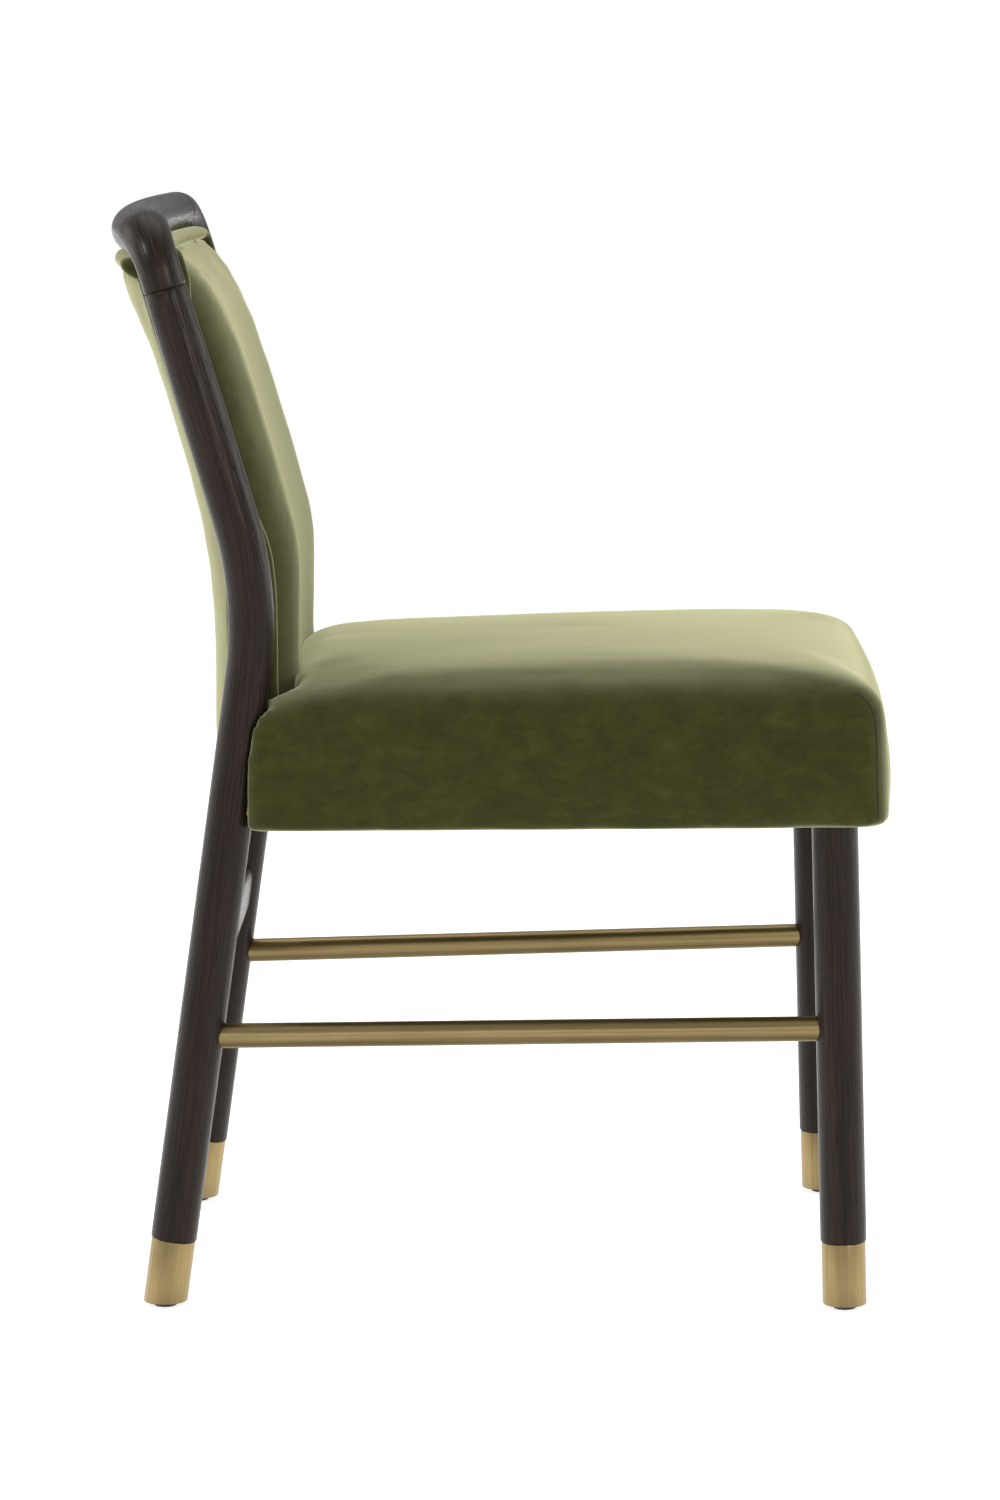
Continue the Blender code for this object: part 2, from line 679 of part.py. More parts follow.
# pocket for rails, legs and deck, and a smaller one for the foam core
tool = cutter_object("seat_pocket", prism("seat_pocket", seat_outline(0.0108, 0.012, 0.006, y_rear=0.1506, bow_front=0.0),
                                          0.36, DECK_Z0 + DECK_T + GAP))
cut(cushion, tool)
for side, sx in sides():
    y0, y1 = 0.10, 0.215
    g = h + GAP
    o = [(side_x(y0) - g, y0), (side_x(y0) + g, y0), (side_x(y1) + g, y1), (side_x(y1) - g, y1)]
    tool = cutter_object("rail_slot_" + side,
                         prism("rail_slot_" + side, [(sx * x, y) for x, y in o], 0.36, RAIL_Z1 + GAP))
    cut(cushion, tool)
CORE_Z1 = 0.4880
tool = cutter_object("core_pocket", prism("core_pocket", seat_outline(0.040, 0.02, 0.02, y_rear=0.140, bow_front=0.0),
                                          0.36, CORE_Z1 + GAP))
cut(cushion, tool)
# clearance for the back between the posts, and for the posts themselves
gap_box = [(-0.1785, SEAT_BACK_Y), (0.1785, SEAT_BACK_Y), (0.1785, 0.26), (-0.1785, 0.26)]
tool = cutter_object("back_clearance", prism("back_clearance", gap_box, 0.34, 0.56))
cut(cushion, tool)
for side, sx in sides():
    cut(cushion, post_cutters[side])
    cut(cushion, leg_cutters[side])

# the ends beside the posts stop on a line that follows their rake
raked = [[P(x, y, z) for x, y in ((-0.30, ye), (0.30, ye), (0.30, 0.32), (-0.30, 0.32))]
         for z, ye in ((0.34, 0.2035), (0.60, 0.1680))]
cut(cushion, cutter_object("ear_rake", loft_mesh("ear_rake", raked)))

deck = finish_object("seat_deck", prism("seat_deck", seat_outline(0.0125, 0.012, 0.006, y_rear=0.1500, bow_front=0.0),
                                        DECK_Z0, DECK_Z0 + DECK_T), PLYWOOD)
core = finish_object("seat_foam", prism("seat_foam", seat_outline(0.0405, 0.02, 0.02, y_rear=0.1395, bow_front=0.0),
                                        DECK_Z0 + DECK_T + GAP, CORE_Z1), FOAM)
dust = finish_object("dust_cover",
                     prism("dust_cover", seat_outline(0.0140, 0.012, 0.006, y_rear=0.1500, bow_front=0.0),
                           tilt(0.3910), tilt(0.3926)), LINING)
for side, sx in sides():
    cut(dust, leg_cutters[side])

# ---------------------------------------------------------------- back upholstery
CREST_UNDER = CREST_Z - (CREST_B + 0.0012) * HIGH.z     # underside of the crest on the centre line
Z_BACK_TOP = CREST_UNDER


def slab(name, x_half, z0, z1, front, back, nx, nz):
    """Curved pad between two depth functions front(x, z) and back(x, z)."""
    bm = bmesh.new()
    grids = []
    for f in (front, back):
        g = []
        for j in range(nz + 1):
            z = z0 + (z1 - z0) * j / nz
            g.append([bm.verts.new(panel_point(-x_half + 2 * x_half * i / nx, z,
                                               f(-x_half + 2 * x_half * i / nx, z)))
                      for i in range(nx + 1)])
        grids.append(g)
    a, b = grids
    for j in range(nz):
        for i in range(nx):
            bm.faces.new((a[j][i], a[j][i + 1], a[j + 1][i + 1], a[j + 1][i]))
            bm.faces.new((b[j][i], b[j + 1][i], b[j + 1][i + 1], b[j][i + 1]))
    loop = ([(0, i) for i in range(nx + 1)] + [(j, nx) for j in range(1, nz + 1)]
            + [(nz, i) for i in range(nx - 1, -1, -1)] + [(j, 0) for j in range(nz - 1, 0, -1)])
    for k in range(len(loop)):
        j0, i0 = loop[k]
        j1, i1 = loop[(k + 1) % len(loop)]
        bm.faces.new((a[j0][i0], b[j0][i0], b[j1][i1], a[j1][i1]))
    bmesh.ops.recalc_face_normals(bm, faces=bm.faces)
    mesh = bpy.data.meshes.new(name)
    bm.to_mesh(mesh)
    bm.free()
    return mesh


def edge_fade(x, z, x_half, z0, z1, r, power=2.2):
    """1 over the face of a pad, falling to 0 at its rim within a distance r."""
    d = min(x_half - abs(x), z - z0, z1 - z)
    t = max(0.0, min(1.0, d / r))
    return (1.0 - (1.0 - t) ** power) ** (1.0 / power)


panel = finish_object("back_panel",
                      slab("back_panel", PANEL_HALF_W, PANEL_Z0, Z_BACK_TOP - 0.0080,
                           lambda x, z: -PANEL_HALF_T, lambda x, z: PANEL_HALF_T, 14, 18),
                      PLYWOOD, smooth=False)

PAD_HALF_W = X_REAR - R_LEG - 0.0008 - 2 * ROLL_INSET + 0.0001
PAD_TOP = Z_BACK_TOP - 0.0160
FRONT_PAD_Z0 = 0.4985
Y_PAD_Z0 = FRONT_PAD_Z0


def front_face(x, z):
    full = 0.0365 + 0.0035 * math.sin(math.pi * min(1.0, max(0.0, (z - 0.47) / (PAD_TOP - 0.47))))
    d = min(PAD_HALF_W - abs(x), (PAD_TOP - z) * 0.5)
    t = max(0.0, min(1.0, d / 0.020))
    f = (1.0 - (1.0 - t) ** 2.4) ** (1 / 2.4)
    return -(0.0185 + (full - 0.0185) * f)


def rear_face(x, z):
    d = min(PAD_HALF_W - abs(x), PAD_TOP - z, z - (PANEL_Z0 + 0.016))
    t = max(0.0, min(1.0, d / 0.045))
    f = (1.0 - (1.0 - t) ** 2.0) ** 0.5
    return 0.0115 + 0.0068 * f


finish_object("back_front_pad",
              slab("back_front_pad", PAD_HALF_W, FRONT_PAD_Z0, PAD_TOP,
                   front_face, lambda x, z: -PANEL_HALF_T - 0.0008, 14, 16), VELVET)
finish_object("back_rear_pad",
              slab("back_rear_pad", PAD_HALF_W, PANEL_Z0 + 0.016, PAD_TOP,
                   lambda x, z: PANEL_HALF_T + 0.0008, rear_face, 14, 16), VELVET)


def roll_path(v):
    """Closed rounded-rectangle path of a padded edge roll, depth v."""
    xh = X_REAR - R_LEG - 0.0008 - ROLL_INSET
    z0 = PANEL_Z0 + ROLL_INSET
    z1 = Z_BACK_TOP - ROLL_INSET
    r = 0.0098
    pts = []
    spans = [((-xh + r, z0), (xh - r, z0), 7), ((xh, z0 + r), (xh, z1 - r), 12),
             ((xh - r, z1), (-xh + r, z1), 7), ((-xh, z1 - r), (-xh, z0 + r), 12)]
    centres = [(xh - r, z0 + r, -90), (xh - r, z1 - r, 0), (-xh + r, z1 - r, 90), (-xh + r, z0 + r, 180)]
    for (p, q, n), (cx, cz, a0) in zip(spans, centres):
        for i in range(n):
            t = i / n
            pts.append((p[0] + (q[0] - p[0]) * t, p[1] + (q[1] - p[1]) * t))
        for i in range(3):
            a = math.radians(a0 + 90 * i / 3)
            pts.append((cx + r * math.cos(a), cz + r * math.sin(a)))
    return [panel_point(x, z, v) for x, z in pts]


for name, v in (("back_roll_front", -ROLL_V), ("back_roll_rear", ROLL_V)):
    path = roll_path(v)
    n = len(path)
    rings = []
    for k in range(n):
        d = (path[(k + 1) % n] - path[(k - 1) % n]).normalized()
        rings.append(circle_ring(path[k], d, ROLL_R, 8, Vector((0, 1, 0))))
    finish_object(name, loft_mesh(name, rings, closed=True), VELVET)

# dowels that hold the panel between the posts
for side, sx in sides():
    for place, z in (("upper", 0.735), ("lower", 0.5450)):
        xa, xb = PANEL_HALF_W - 0.018, X_REAR - 0.006
        a = P(sx * xa, panel_y(z) + bow(xa), z)
        b = P(sx * xb, panel_y(z) + bow(xb), z)
        pin("panel_dowel_" + place + "_" + side, a, b, 0.0030, (panel, posts[side]), BEECH, n=10)
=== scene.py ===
"""Looks for the upholstered dining chair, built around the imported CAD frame."""
import json
import math

import bmesh
import bpy
import numpy as np
from mathutils import Matrix, Vector, noise


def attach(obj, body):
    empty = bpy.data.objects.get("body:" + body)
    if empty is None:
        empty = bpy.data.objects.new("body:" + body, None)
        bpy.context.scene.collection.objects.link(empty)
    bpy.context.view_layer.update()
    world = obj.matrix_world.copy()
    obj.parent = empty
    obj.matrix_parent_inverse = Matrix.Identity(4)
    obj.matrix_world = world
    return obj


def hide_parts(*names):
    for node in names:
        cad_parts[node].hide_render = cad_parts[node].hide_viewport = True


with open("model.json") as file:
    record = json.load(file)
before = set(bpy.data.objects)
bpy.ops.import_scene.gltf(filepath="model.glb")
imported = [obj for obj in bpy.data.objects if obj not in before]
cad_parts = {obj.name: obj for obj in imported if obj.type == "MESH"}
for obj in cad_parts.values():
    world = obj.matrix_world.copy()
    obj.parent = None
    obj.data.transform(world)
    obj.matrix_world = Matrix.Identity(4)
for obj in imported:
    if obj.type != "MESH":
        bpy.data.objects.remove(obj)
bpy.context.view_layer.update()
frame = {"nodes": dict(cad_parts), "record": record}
Y_SHIFT = 0.0022

# ------------------------------------------------------------------ the frame's dimensions, as in the CAD
R_LEG, R_POST_TOP = 0.018, 0.0168
X_REAR, X_FRONT = 0.195, 0.2165
FOOT_Y, RAKE, LEAN, LEAN_Y0, BEND_R, Z_POST_TOP = 0.2684, 0.1464, 0.290, 0.0235, 0.31, 0.7988
FRONT_FOOT_Y, FRONT_RAKE = -0.2657, 0.0198
FERRULE_TOP, FERRULE_BOTTOM, R_FERRULE = 0.0535, 0.0036, 0.0172
CREST_Z, BOW, CREST_A, CREST_B, X_CREST_END, CORNER_R = 0.8410, 0.020, 0.0210, 0.0172, 0.150, 0.0345
R_TUBE, Z_TUBE_REAR, Z_TUBE_FRONT = 0.0097, 0.2150, 0.2222
PANEL_LOW_Y = 0.1925
SEAT_FRONT_Y, SEAT_REAR_Y = -0.300, 0.1975
SEAT_HALF_FRONT, SEAT_HALF_REAR = 0.2465, 0.2215
SEAT_Z0, SEAT_TILT = 0.3832, 0.009


def P(x, y, z):
    return Vector((x, y - Y_SHIFT, z))


# ------------------------------------------------------------------ centre lines
VERTEX_Z = (FOOT_Y - LEAN_Y0) / (RAKE + LEAN)
TURN = math.atan(RAKE) + math.atan(LEAN)
TANGENT = BEND_R * math.tan(TURN / 2)
HIGH = Vector((0, LEAN, 1)).normalized()
LOW = Vector((0, -RAKE, 1)).normalized()
BACK_N = Vector((0, HIGH.z, -HIGH.y))


def post_line(s):
    vertex = Vector((0, FOOT_Y - RAKE * VERTEX_Z, VERTEX_Z))
    foot = Vector((0, FOOT_Y, 0))
    l1 = (vertex - foot).length - TANGENT
    arc = BEND_R * TURN
    if s <= l1:
        return foot + LOW * s, LOW
    if s >= l1 + arc:
        return vertex + HIGH * (TANGENT + s - l1 - arc), HIGH
    a = (s - l1) / BEND_R
    start = foot + LOW * l1
    centre = start + Vector((0, LOW.z, -LOW.y)) * BEND_R
    m = Matrix.Rotation(-a, 3, 'X')
    return centre + (m @ (start - centre)), m @ LOW


def post_at_height(z):
    lo, hi = 0.0, 1.2
    for _ in range(50):
        mid = (lo + hi) / 2
        if post_line(mid)[0].z < z:
            lo = mid
        else:
            hi = mid
    return lo


def front_leg_y(z):
    return FRONT_FOOT_Y + FRONT_RAKE * z


def bow(x):
    return BOW * (1.0 - (x / X_REAR) ** 2)


def panel_y(z):
    k = 0.012
    zc = (PANEL_LOW_Y - LEAN_Y0) / LEAN
    t = (z - zc) / k
    soft = t if t > 30 else math.log1p(math.exp(t))
    return PANEL_LOW_Y + LEAN * k * soft


def panel_frame(z):
    e = 0.0005
    slope = (panel_y(z + e) - panel_y(z - e)) / (2 * e)
    c = 1.0 / math.sqrt(1 + slope * slope)
    return slope, c


def panel_point(x, z, v):
    slope, c = panel_frame(z)
    return P(x, panel_y(z) + bow(x) + v * c, z - v * slope * c)


def smooth(t):
    t = max(0.0, min(1.0, t))
    return t * t * (3 - 2 * t)


# ------------------------------------------------------------------ mesh helpers
def new_object(name, mesh):
    ob = bpy.data.objects.new(name, mesh)
    bpy.context.scene.collection.objects.link(ob)
    return ob


def shade(ob, angle=40):
    ob.data.shade_smooth()
    ob.data.set_sharp_from_angle(angle=math.radians(angle))


def frame_from(direction, side):
    d = direction.normalized()
    u = (side - d * side.dot(d)).normalized()
    return u, d.cross(u)


def loft(name, stations, closed_ends=True, closed_loop=False, angle=40):
    """stations: list of (ring of points, list of (a, b, l) grain coordinates)."""
    bm = bmesh.new()
    grain = bm.verts.layers.float_vector.new("grain")
    rows = []
    for ring, g in stations:
        row = []
        for p, q in zip(ring, g):
            v = bm.verts.new(p)
            v[grain] = q
            row.append(v)
        rows.append(row)
    n = len(rows[0])
    pairs = list(zip(rows[:-1], rows[1:]))
    if closed_loop:
        pairs.append((rows[-1], rows[0]))
    for a, b in pairs:
        for i in range(n):
            j = (i + 1) % n
            bm.faces.new((a[i], a[j], b[j], b[i]))
    if closed_ends and not closed_loop:
        bm.faces.new(list(reversed(rows[0])))
        bm.faces.new(rows[-1])
    bmesh.ops.recalc_face_normals(bm, faces=bm.faces)
    mesh = bpy.data.meshes.new(name)
    bm.to_mesh(mesh)
    bm.free()
    ob = new_object(name, mesh)
    shade(ob, angle)
    return ob


def ring(centre, direction, a, b, l, n=56, power=2.0, side=None, level=None):
    """A superellipse ring with its grain coordinates."""
    d = direction.normalized()
    s = BACK_N if side is None else side
    u = (s - d * s.dot(d)).normalized()
    w = d.cross(u)
    pts, g = [], []
    e = 2.0 / power
    for i in range(n):
        t = 2 * math.pi * i / n
        c, sn = math.cos(t), math.sin(t)
        ca = a * math.copysign(abs(c) ** e, c)
        cb = b * math.copysign(abs(sn) ** e, sn)
        p = centre + u * ca + w * cb
        ll = l
        if level is not None:
            k = (level - p.z) / d.z
            p = p + d * k
            ll = l + k
        pts.append(p)
        g.append((ca, cb, ll))
    return pts, g


def offset_grain(ob, shift):
    """Each piece is cut from its own board, so its grain starts somewhere else."""
    at = ob.data.attributes["grain"]
    for d in at.data:
        v = d.vector
        d.vector = (v[0] + shift[0], v[1] + shift[1], v[2] + shift[2])


# ------------------------------------------------------------------ node helpers
class Nodes:
    def __init__(self, name):
        self.mat = bpy.data.materials.new(name)
        self.mat.use_nodes = True
        self.t = self.mat.node_tree
        self.bsdf = self.t.nodes["Principled BSDF"]

    def add(self, kind, **props):
        n = self.t.nodes.new(kind)
        for k, v in props.items():
            setattr(n, k, v)
        return n

    def link(self, a, b):
        self.t.links.new(a, b)

    def value(self, socket, v):
        if isinstance(v, bpy.types.NodeSocket):
            self.link(v, socket)
        else:
            socket.default_value = v

    def math(self, op, a, b=None, c=None, clamp=False):
        n = self.add("ShaderNodeMath", operation=op, use_clamp=clamp)
        self.value(n.inputs[0], a)
        if b is not None:
            self.value(n.inputs[1], b)
        if c is not None:
            self.value(n.inputs[2], c)
        return n.outputs[0]

    def noise(self, vec, scale, detail=2.0, rough=0.5, dist=0.0):
        n = self.add("ShaderNodeTexNoise")
        self.link(vec, n.inputs["Vector"])
        n.inputs["Scale"].default_value = scale
        n.inputs["Detail"].default_value = detail
        n.inputs["Roughness"].default_value = rough
        n.inputs["Distortion"].default_value = dist
        return n.outputs["Fac"]

    def mapping(self, vec, scale=(1, 1, 1), loc=(0, 0, 0), rot=(0, 0, 0)):
        n = self.add("ShaderNodeMapping")
        self.link(vec, n.inputs["Vector"])
        n.inputs["Scale"].default_value = scale
        n.inputs["Location"].default_value = loc
        n.inputs["Rotation"].default_value = rot
        return n.outputs["Vector"]

    def ramp(self, fac, stops, interp='LINEAR'):
        n = self.add("ShaderNodeValToRGB")
        self.link(fac, n.inputs["Fac"])
        n.color_ramp.interpolation = interp
        els = n.color_ramp.elements
        while len(els) < len(stops):
            els.new(0.5)
        for e, (p, c) in zip(els, stops):
            e.position = p
            e.color = (c[0], c[1], c[2], 1.0) if hasattr(c, "__len__") else (c, c, c, 1.0)
        return n.outputs["Color"]

    def mix(self, fac, a, b, blend='MIX'):
        n = self.add("ShaderNodeMix", data_type='RGBA', blend_type=blend)
        self.value(n.inputs[0], fac)
        self.value(n.inputs[6], a)
        self.value(n.inputs[7], b)
        return n.outputs[2]

    def bump(self, height, strength, distance, normal=None):
        n = self.add("ShaderNodeBump")
        n.inputs["Strength"].default_value = strength
        n.inputs["Distance"].default_value = distance
        self.link(height, n.inputs["Height"])
        if normal is not None:
            self.link(normal, n.inputs["Normal"])
        return n.outputs["Normal"]

    def coords(self, which="Object"):
        return self.add("ShaderNodeTexCoord").outputs[which]

    def attribute(self, name):
        n = self.add("ShaderNodeAttribute", attribute_name=name, attribute_type='GEOMETRY')
        return n.outputs["Vector"]


def rgb(r, g, b):
    """sRGB 0-255 to linear."""
    out = []
    for c in (r, g, b):
        c /= 255.0
        out.append(c / 12.92 if c <= 0.04045 else ((c + 0.055) / 1.055) ** 2.4)
    return (out[0], out[1], out[2], 1.0)


# ------------------------------------------------------------------ materials
def dark_wood(name="dark_wood_look", own_coords=False):
    m = Nodes(name)
    co = m.coords() if own_coords else m.attribute("grain")
    long = m.mapping(co, scale=(150, 150, 5.5))
    fine = m.mapping(co, scale=(620, 620, 14))
    pore = m.mapping(co, scale=(900, 900, 38))
    a = m.noise(long, 1.0, 5.0, 0.62, 0.6)
    b = m.noise(fine, 1.0, 3.0, 0.6, 0.3)
    c = m.noise(pore, 1.0, 2.0, 0.5, 0.0)
    broad = m.noise(m.mapping(co, scale=(26, 26, 2.2)), 1.0, 2.0, 0.5, 0.4)
    base = m.ramp(a, [(0.30, rgb(13, 9, 7)), (0.52, rgb(21, 15, 11)), (0.72, rgb(32, 24, 18))])
    base = m.mix(m.ramp(broad, [(0.35, 0.0), (0.7, 0.45)]), base, rgb(35, 24, 18))
    streak = m.ramp(b, [(0.42, 0.0), (0.66, 1.0)])
    base = m.mix(m.math('MULTIPLY', streak, 0.45), base, rgb(54, 44, 37))
    pores = m.ramp(c, [(0.30, 1.0), (0.43, 0.0)])
    base = m.mix(m.math('MULTIPLY', pores, 0.75), base, rgb(9, 7, 6))
    m.link(base, m.bsdf.inputs["Base Color"])
    r = m.ramp(b, [(0.3, 0.25), (0.7, 0.38)])
    m.link(m.math('ADD', r, m.math('MULTIPLY', pores, 0.12)), m.bsdf.inputs["Roughness"])
    h = m.math('SUBTRACT', m.math('MULTIPLY', b, 0.35), m.math('MULTIPLY', pores, 0.8))
    m.link(m.bump(h, 0.55, 0.0004), m.bsdf.inputs["Normal"])
    m.bsdf.inputs["Specular IOR Level"].default_value = 0.22
    m.bsdf.inputs["Specular Tint"].default_value = (1.0, 0.90, 0.82, 1.0)
    return m.mat


def brass(name="brass_look"):
    """Satin brass, brushed along the piece."""
    m = Nodes(name)
    co = m.attribute("grain")
    brush = m.noise(m.mapping(co, scale=(2600, 2600, 26)), 1.0, 4.0, 0.7, 0.0)
    wide = m.noise(m.mapping(co, scale=(420, 420, 6)), 1.0, 3.0, 0.6, 0.0)
    blot = m.noise(m.mapping(co, scale=(45, 45, 20)), 1.0, 3.0, 0.5, 0.3)
    base = m.ramp(wide, [(0.30, rgb(146, 126, 86)), (0.5, rgb(158, 138, 96)), (0.72, rgb(171, 152, 110))])
    base = m.mix(m.ramp(blot, [(0.4, 0.0), (0.75, 0.35)]), base, rgb(136, 116, 80))
    m.link(base, m.bsdf.inputs["Base Color"])
    m.bsdf.inputs["Metallic"].default_value = 1.0
    r = m.math('ADD', m.math('MULTIPLY', brush, 0.16), m.math('MULTIPLY', wide, 0.10))
    m.link(m.math('ADD', r, 0.24), m.bsdf.inputs["Roughness"])
    h = m.math('ADD', m.math('MULTIPLY', brush, 0.7), m.math('MULTIPLY', wide, 0.5))
    m.link(m.bump(h, 0.22, 0.00012), m.bsdf.inputs["Normal"])
    return m.mat


def velvet(name="velvet_look", tone=1.0):
    """Short-pile velvet: dark green into the pile, pale sheen across it."""
    m = Nodes(name)
    co = m.coords()
    cloud = m.noise(co, 34.0, 5.0, 0.62, 0.35)
    stroke = m.noise(m.mapping(co, scale=(60, 48, 110)), 1.0, 4.0, 0.6, 0.5)
    pile = m.noise(co, 1500.0, 2.0, 0.6)
    weave = m.noise(m.mapping(co, scale=(900, 900, 300)), 1.0, 1.0, 0.5)
    base = m.ramp(cloud, [(0.28, rgb(40, 41, 9)), (0.52, rgb(47, 48, 12)), (0.76, rgb(56, 57, 18))])
    base = m.mix(m.math('MULTIPLY', m.ramp(stroke, [(0.40, 0.0), (0.72, 1.0)]), 0.30), base, rgb(78, 79, 34))
    base = m.mix(m.math('MULTIPLY', m.ramp(pile, [(0.35, 1.0), (0.55, 0.0)]), 0.35), base, rgb(34, 35, 8))
    m.link(base, m.bsdf.inputs["Base Color"])
    rr = m.math('ADD', m.math('MULTIPLY', pile, 0.12), 0.80)
    m.link(rr, m.bsdf.inputs["Roughness"])
    m.bsdf.inputs["Specular IOR Level"].default_value = 0.12
    m.bsdf.inputs["Sheen Weight"].default_value = 1.0
    m.bsdf.inputs["Sheen Roughness"].default_value = 0.42
    m.bsdf.inputs["Sheen Tint"].default_value = (1.0, 0.985, 0.60, 1.0)
    h = m.math('ADD', m.math('MULTIPLY', pile, 0.6), m.math('MULTIPLY', weave, 0.4))
    h = m.math('ADD', h, m.math('MULTIPLY', stroke, 0.8))
    m.link(m.bump(h, 0.35, 0.0006), m.bsdf.inputs["Normal"])
    return m.mat


def speckled(name, lo, hi, rough, scale=900.0, bump=0.1, metallic=0.0, stretch=(1, 1, 1)):
    m = Nodes(name)
    co = m.mapping(m.coords(), scale=stretch)
    n1 = m.noise(co, scale, 3.0, 0.6)
    n2 = m.noise(co, scale / 18.0, 3.0, 0.5)
    f = m.math('ADD', m.math('MULTIPLY', n1, 0.6), m.math('MULTIPLY', n2, 0.4))
    m.link(m.ramp(f, [(0.35, lo), (0.65, hi)]), m.bsdf.inputs["Base Color"])
    m.link(m.math('ADD', m.math('MULTIPLY', n1, 0.15), rough - 0.07), m.bsdf.inputs["Roughness"])
    m.bsdf.inputs["Metallic"].default_value = metallic
    m.link(m.bump(n1, bump, 0.0004), m.bsdf.inputs["Normal"])
    return m.mat


WOOD = dark_wood()
BRASS = brass()
VELVET = velvet()
SEAM = speckled("seam_look", rgb(26, 27, 8), rgb(44, 45, 16), 0.85, 1500.0, 0.5)
BLACK = speckled("glide_look", rgb(16, 16, 16), rgb(30, 30, 30), 0.5, 1600.0, 0.15)
BEECH = speckled("beech_look", rgb(176, 138, 98), rgb(206, 172, 130), 0.6, 300.0, 0.15, stretch=(3, 3, 3))
PLY = speckled("plywood_look", rgb(180, 148, 104), rgb(210, 182, 138), 0.62, 160.0, 0.15, stretch=(1, 6, 1))
FOAM = speckled("foam_look", rgb(214, 206, 170), rgb(236, 230, 200), 0.95, 1400.0, 0.6)
STEEL = speckled("steel_look", rgb(130, 132, 136), rgb(190, 192, 196), 0.35, 1200.0, 0.05, 1.0, stretch=(1, 1, 8))
LINING = speckled("lining_look", rgb(14, 14, 14), rgb(34, 33, 32), 0.93, 1300.0, 0.5)

slots = {s["node"]: s["material_slot"] for s in frame["record"]["subparts"]}
LOOK = {"dark_wood": WOOD, "brass": BRASS, "black_plastic": BLACK, "velvet": VELVET, "beech": BEECH,
        "plywood": PLY, "foam": FOAM, "steel": STEEL, "lining": LINING}
for node, ob in frame["nodes"].items():
    ob.data.materials.clear()
    ob.data.materials.append(LOOK[slots[node]])
    ob.data.shade_smooth()
    ob.data.set_sharp_from_angle(angle=math.radians(35))


def place(ob, mat, slot, *nodes):
    ob.data.materials.clear()
    ob.data.materials.append(mat)
    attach(ob, "root")
    if nodes:
        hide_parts(*nodes)
    return ob


# ------------------------------------------------------------------ turned wood
S_TOP = post_at_height(Z_POST_TOP)
S_JOINT = post_at_height(FERRULE_TOP)
GAP = 0.0003


def post_radius(s):
    start = S_TOP - 0.095
    if s <= start:
        return R_LEG
    return R_LEG + (R_POST_TOP - R_LEG) * (s - start) / (S_TOP - start)


SIDES = (("right", -1.0), ("left", 1.0))
XDIR = Vector((1, 0, 0))
for side, sx in SIDES:
    st = []

    def at(s, sx=sx):
        c, d = post_line(s)
        return P(sx * X_REAR, c.y, c.z), d

    c, d = at(S_JOINT)
    rt = 0.0145
    st.append(ring(c, d, rt, rt, S_JOINT, side=XDIR, level=FERRULE_BOTTOM + 0.003))
    st.append(ring(c + d * GAP, d, rt, rt, S_JOINT, side=XDIR))
    for dr, dl in ((0.0016, GAP), (0.0006, 0.0004), (0.0001, 0.0010), (0.0, 0.0016)):
        st.append(ring(c + d * dl, d, R_LEG - dr, R_LEG - dr, S_JOINT + dl, side=XDIR))
    count = 74
    for i in range(1, count + 1):
        s = S_JOINT + 0.0016 + (S_TOP - 0.0012 - S_JOINT - 0.0016) * i / count
        c, d = at(s)
        r = post_radius(s)
        st.append(ring(c, d, r, r, s, side=XDIR))
    c, d = at(S_TOP - 0.0002)
    for dr, dl in ((0.00015, -0.0008), (0.0007, -0.0002)):
        c, d = at(S_TOP + dl)
        st.append(ring(c, d, R_POST_TOP - dr, R_POST_TOP - dr, S_TOP + dl, side=XDIR))
    ob = loft("post_look_" + side, st)
    offset_grain(ob, (0.11 * sx, 0.05, 0.3 * sx))
    place(ob, WOOD, "dark_wood", "rear_post_" + side)

FRONT_D = Vector((0, FRONT_RAKE, 1)).normalized()
for side, sx in SIDES:
    def ax(z, sx=sx):
        return P(sx * X_FRONT, front_leg_y(z), z)

    c = ax(FERRULE_TOP)
    st = [ring(c, FRONT_D, 0.0145, 0.0145, 0.05, side=XDIR, level=FERRULE_BOTTOM + 0.003),
          ring(c + FRONT_D * GAP, FRONT_D, 0.0145, 0.0145, 0.05, side=XDIR)]
    for dr, dl in ((0.0016, GAP), (0.0006, 0.0004), (0.0001, 0.0010), (0.0, 0.0016)):
        st.append(ring(c + FRONT_D * dl, FRONT_D, R_LEG - dr, R_LEG - dr, 0.0535 + dl, side=XDIR))
    for i in range(1, 25):
        z = 0.056 + (0.4515 - 0.056) * i / 24
        st.append(ring(ax(z), FRONT_D, R_LEG, R_LEG, z, side=XDIR))
    ob = loft("front_leg_look_" + side, st)
    offset_grain(ob, (0.31 * sx, 0.17, 0.9 + 0.4 * sx))
    place(ob, WOOD, "dark_wood", "front_leg_" + side)

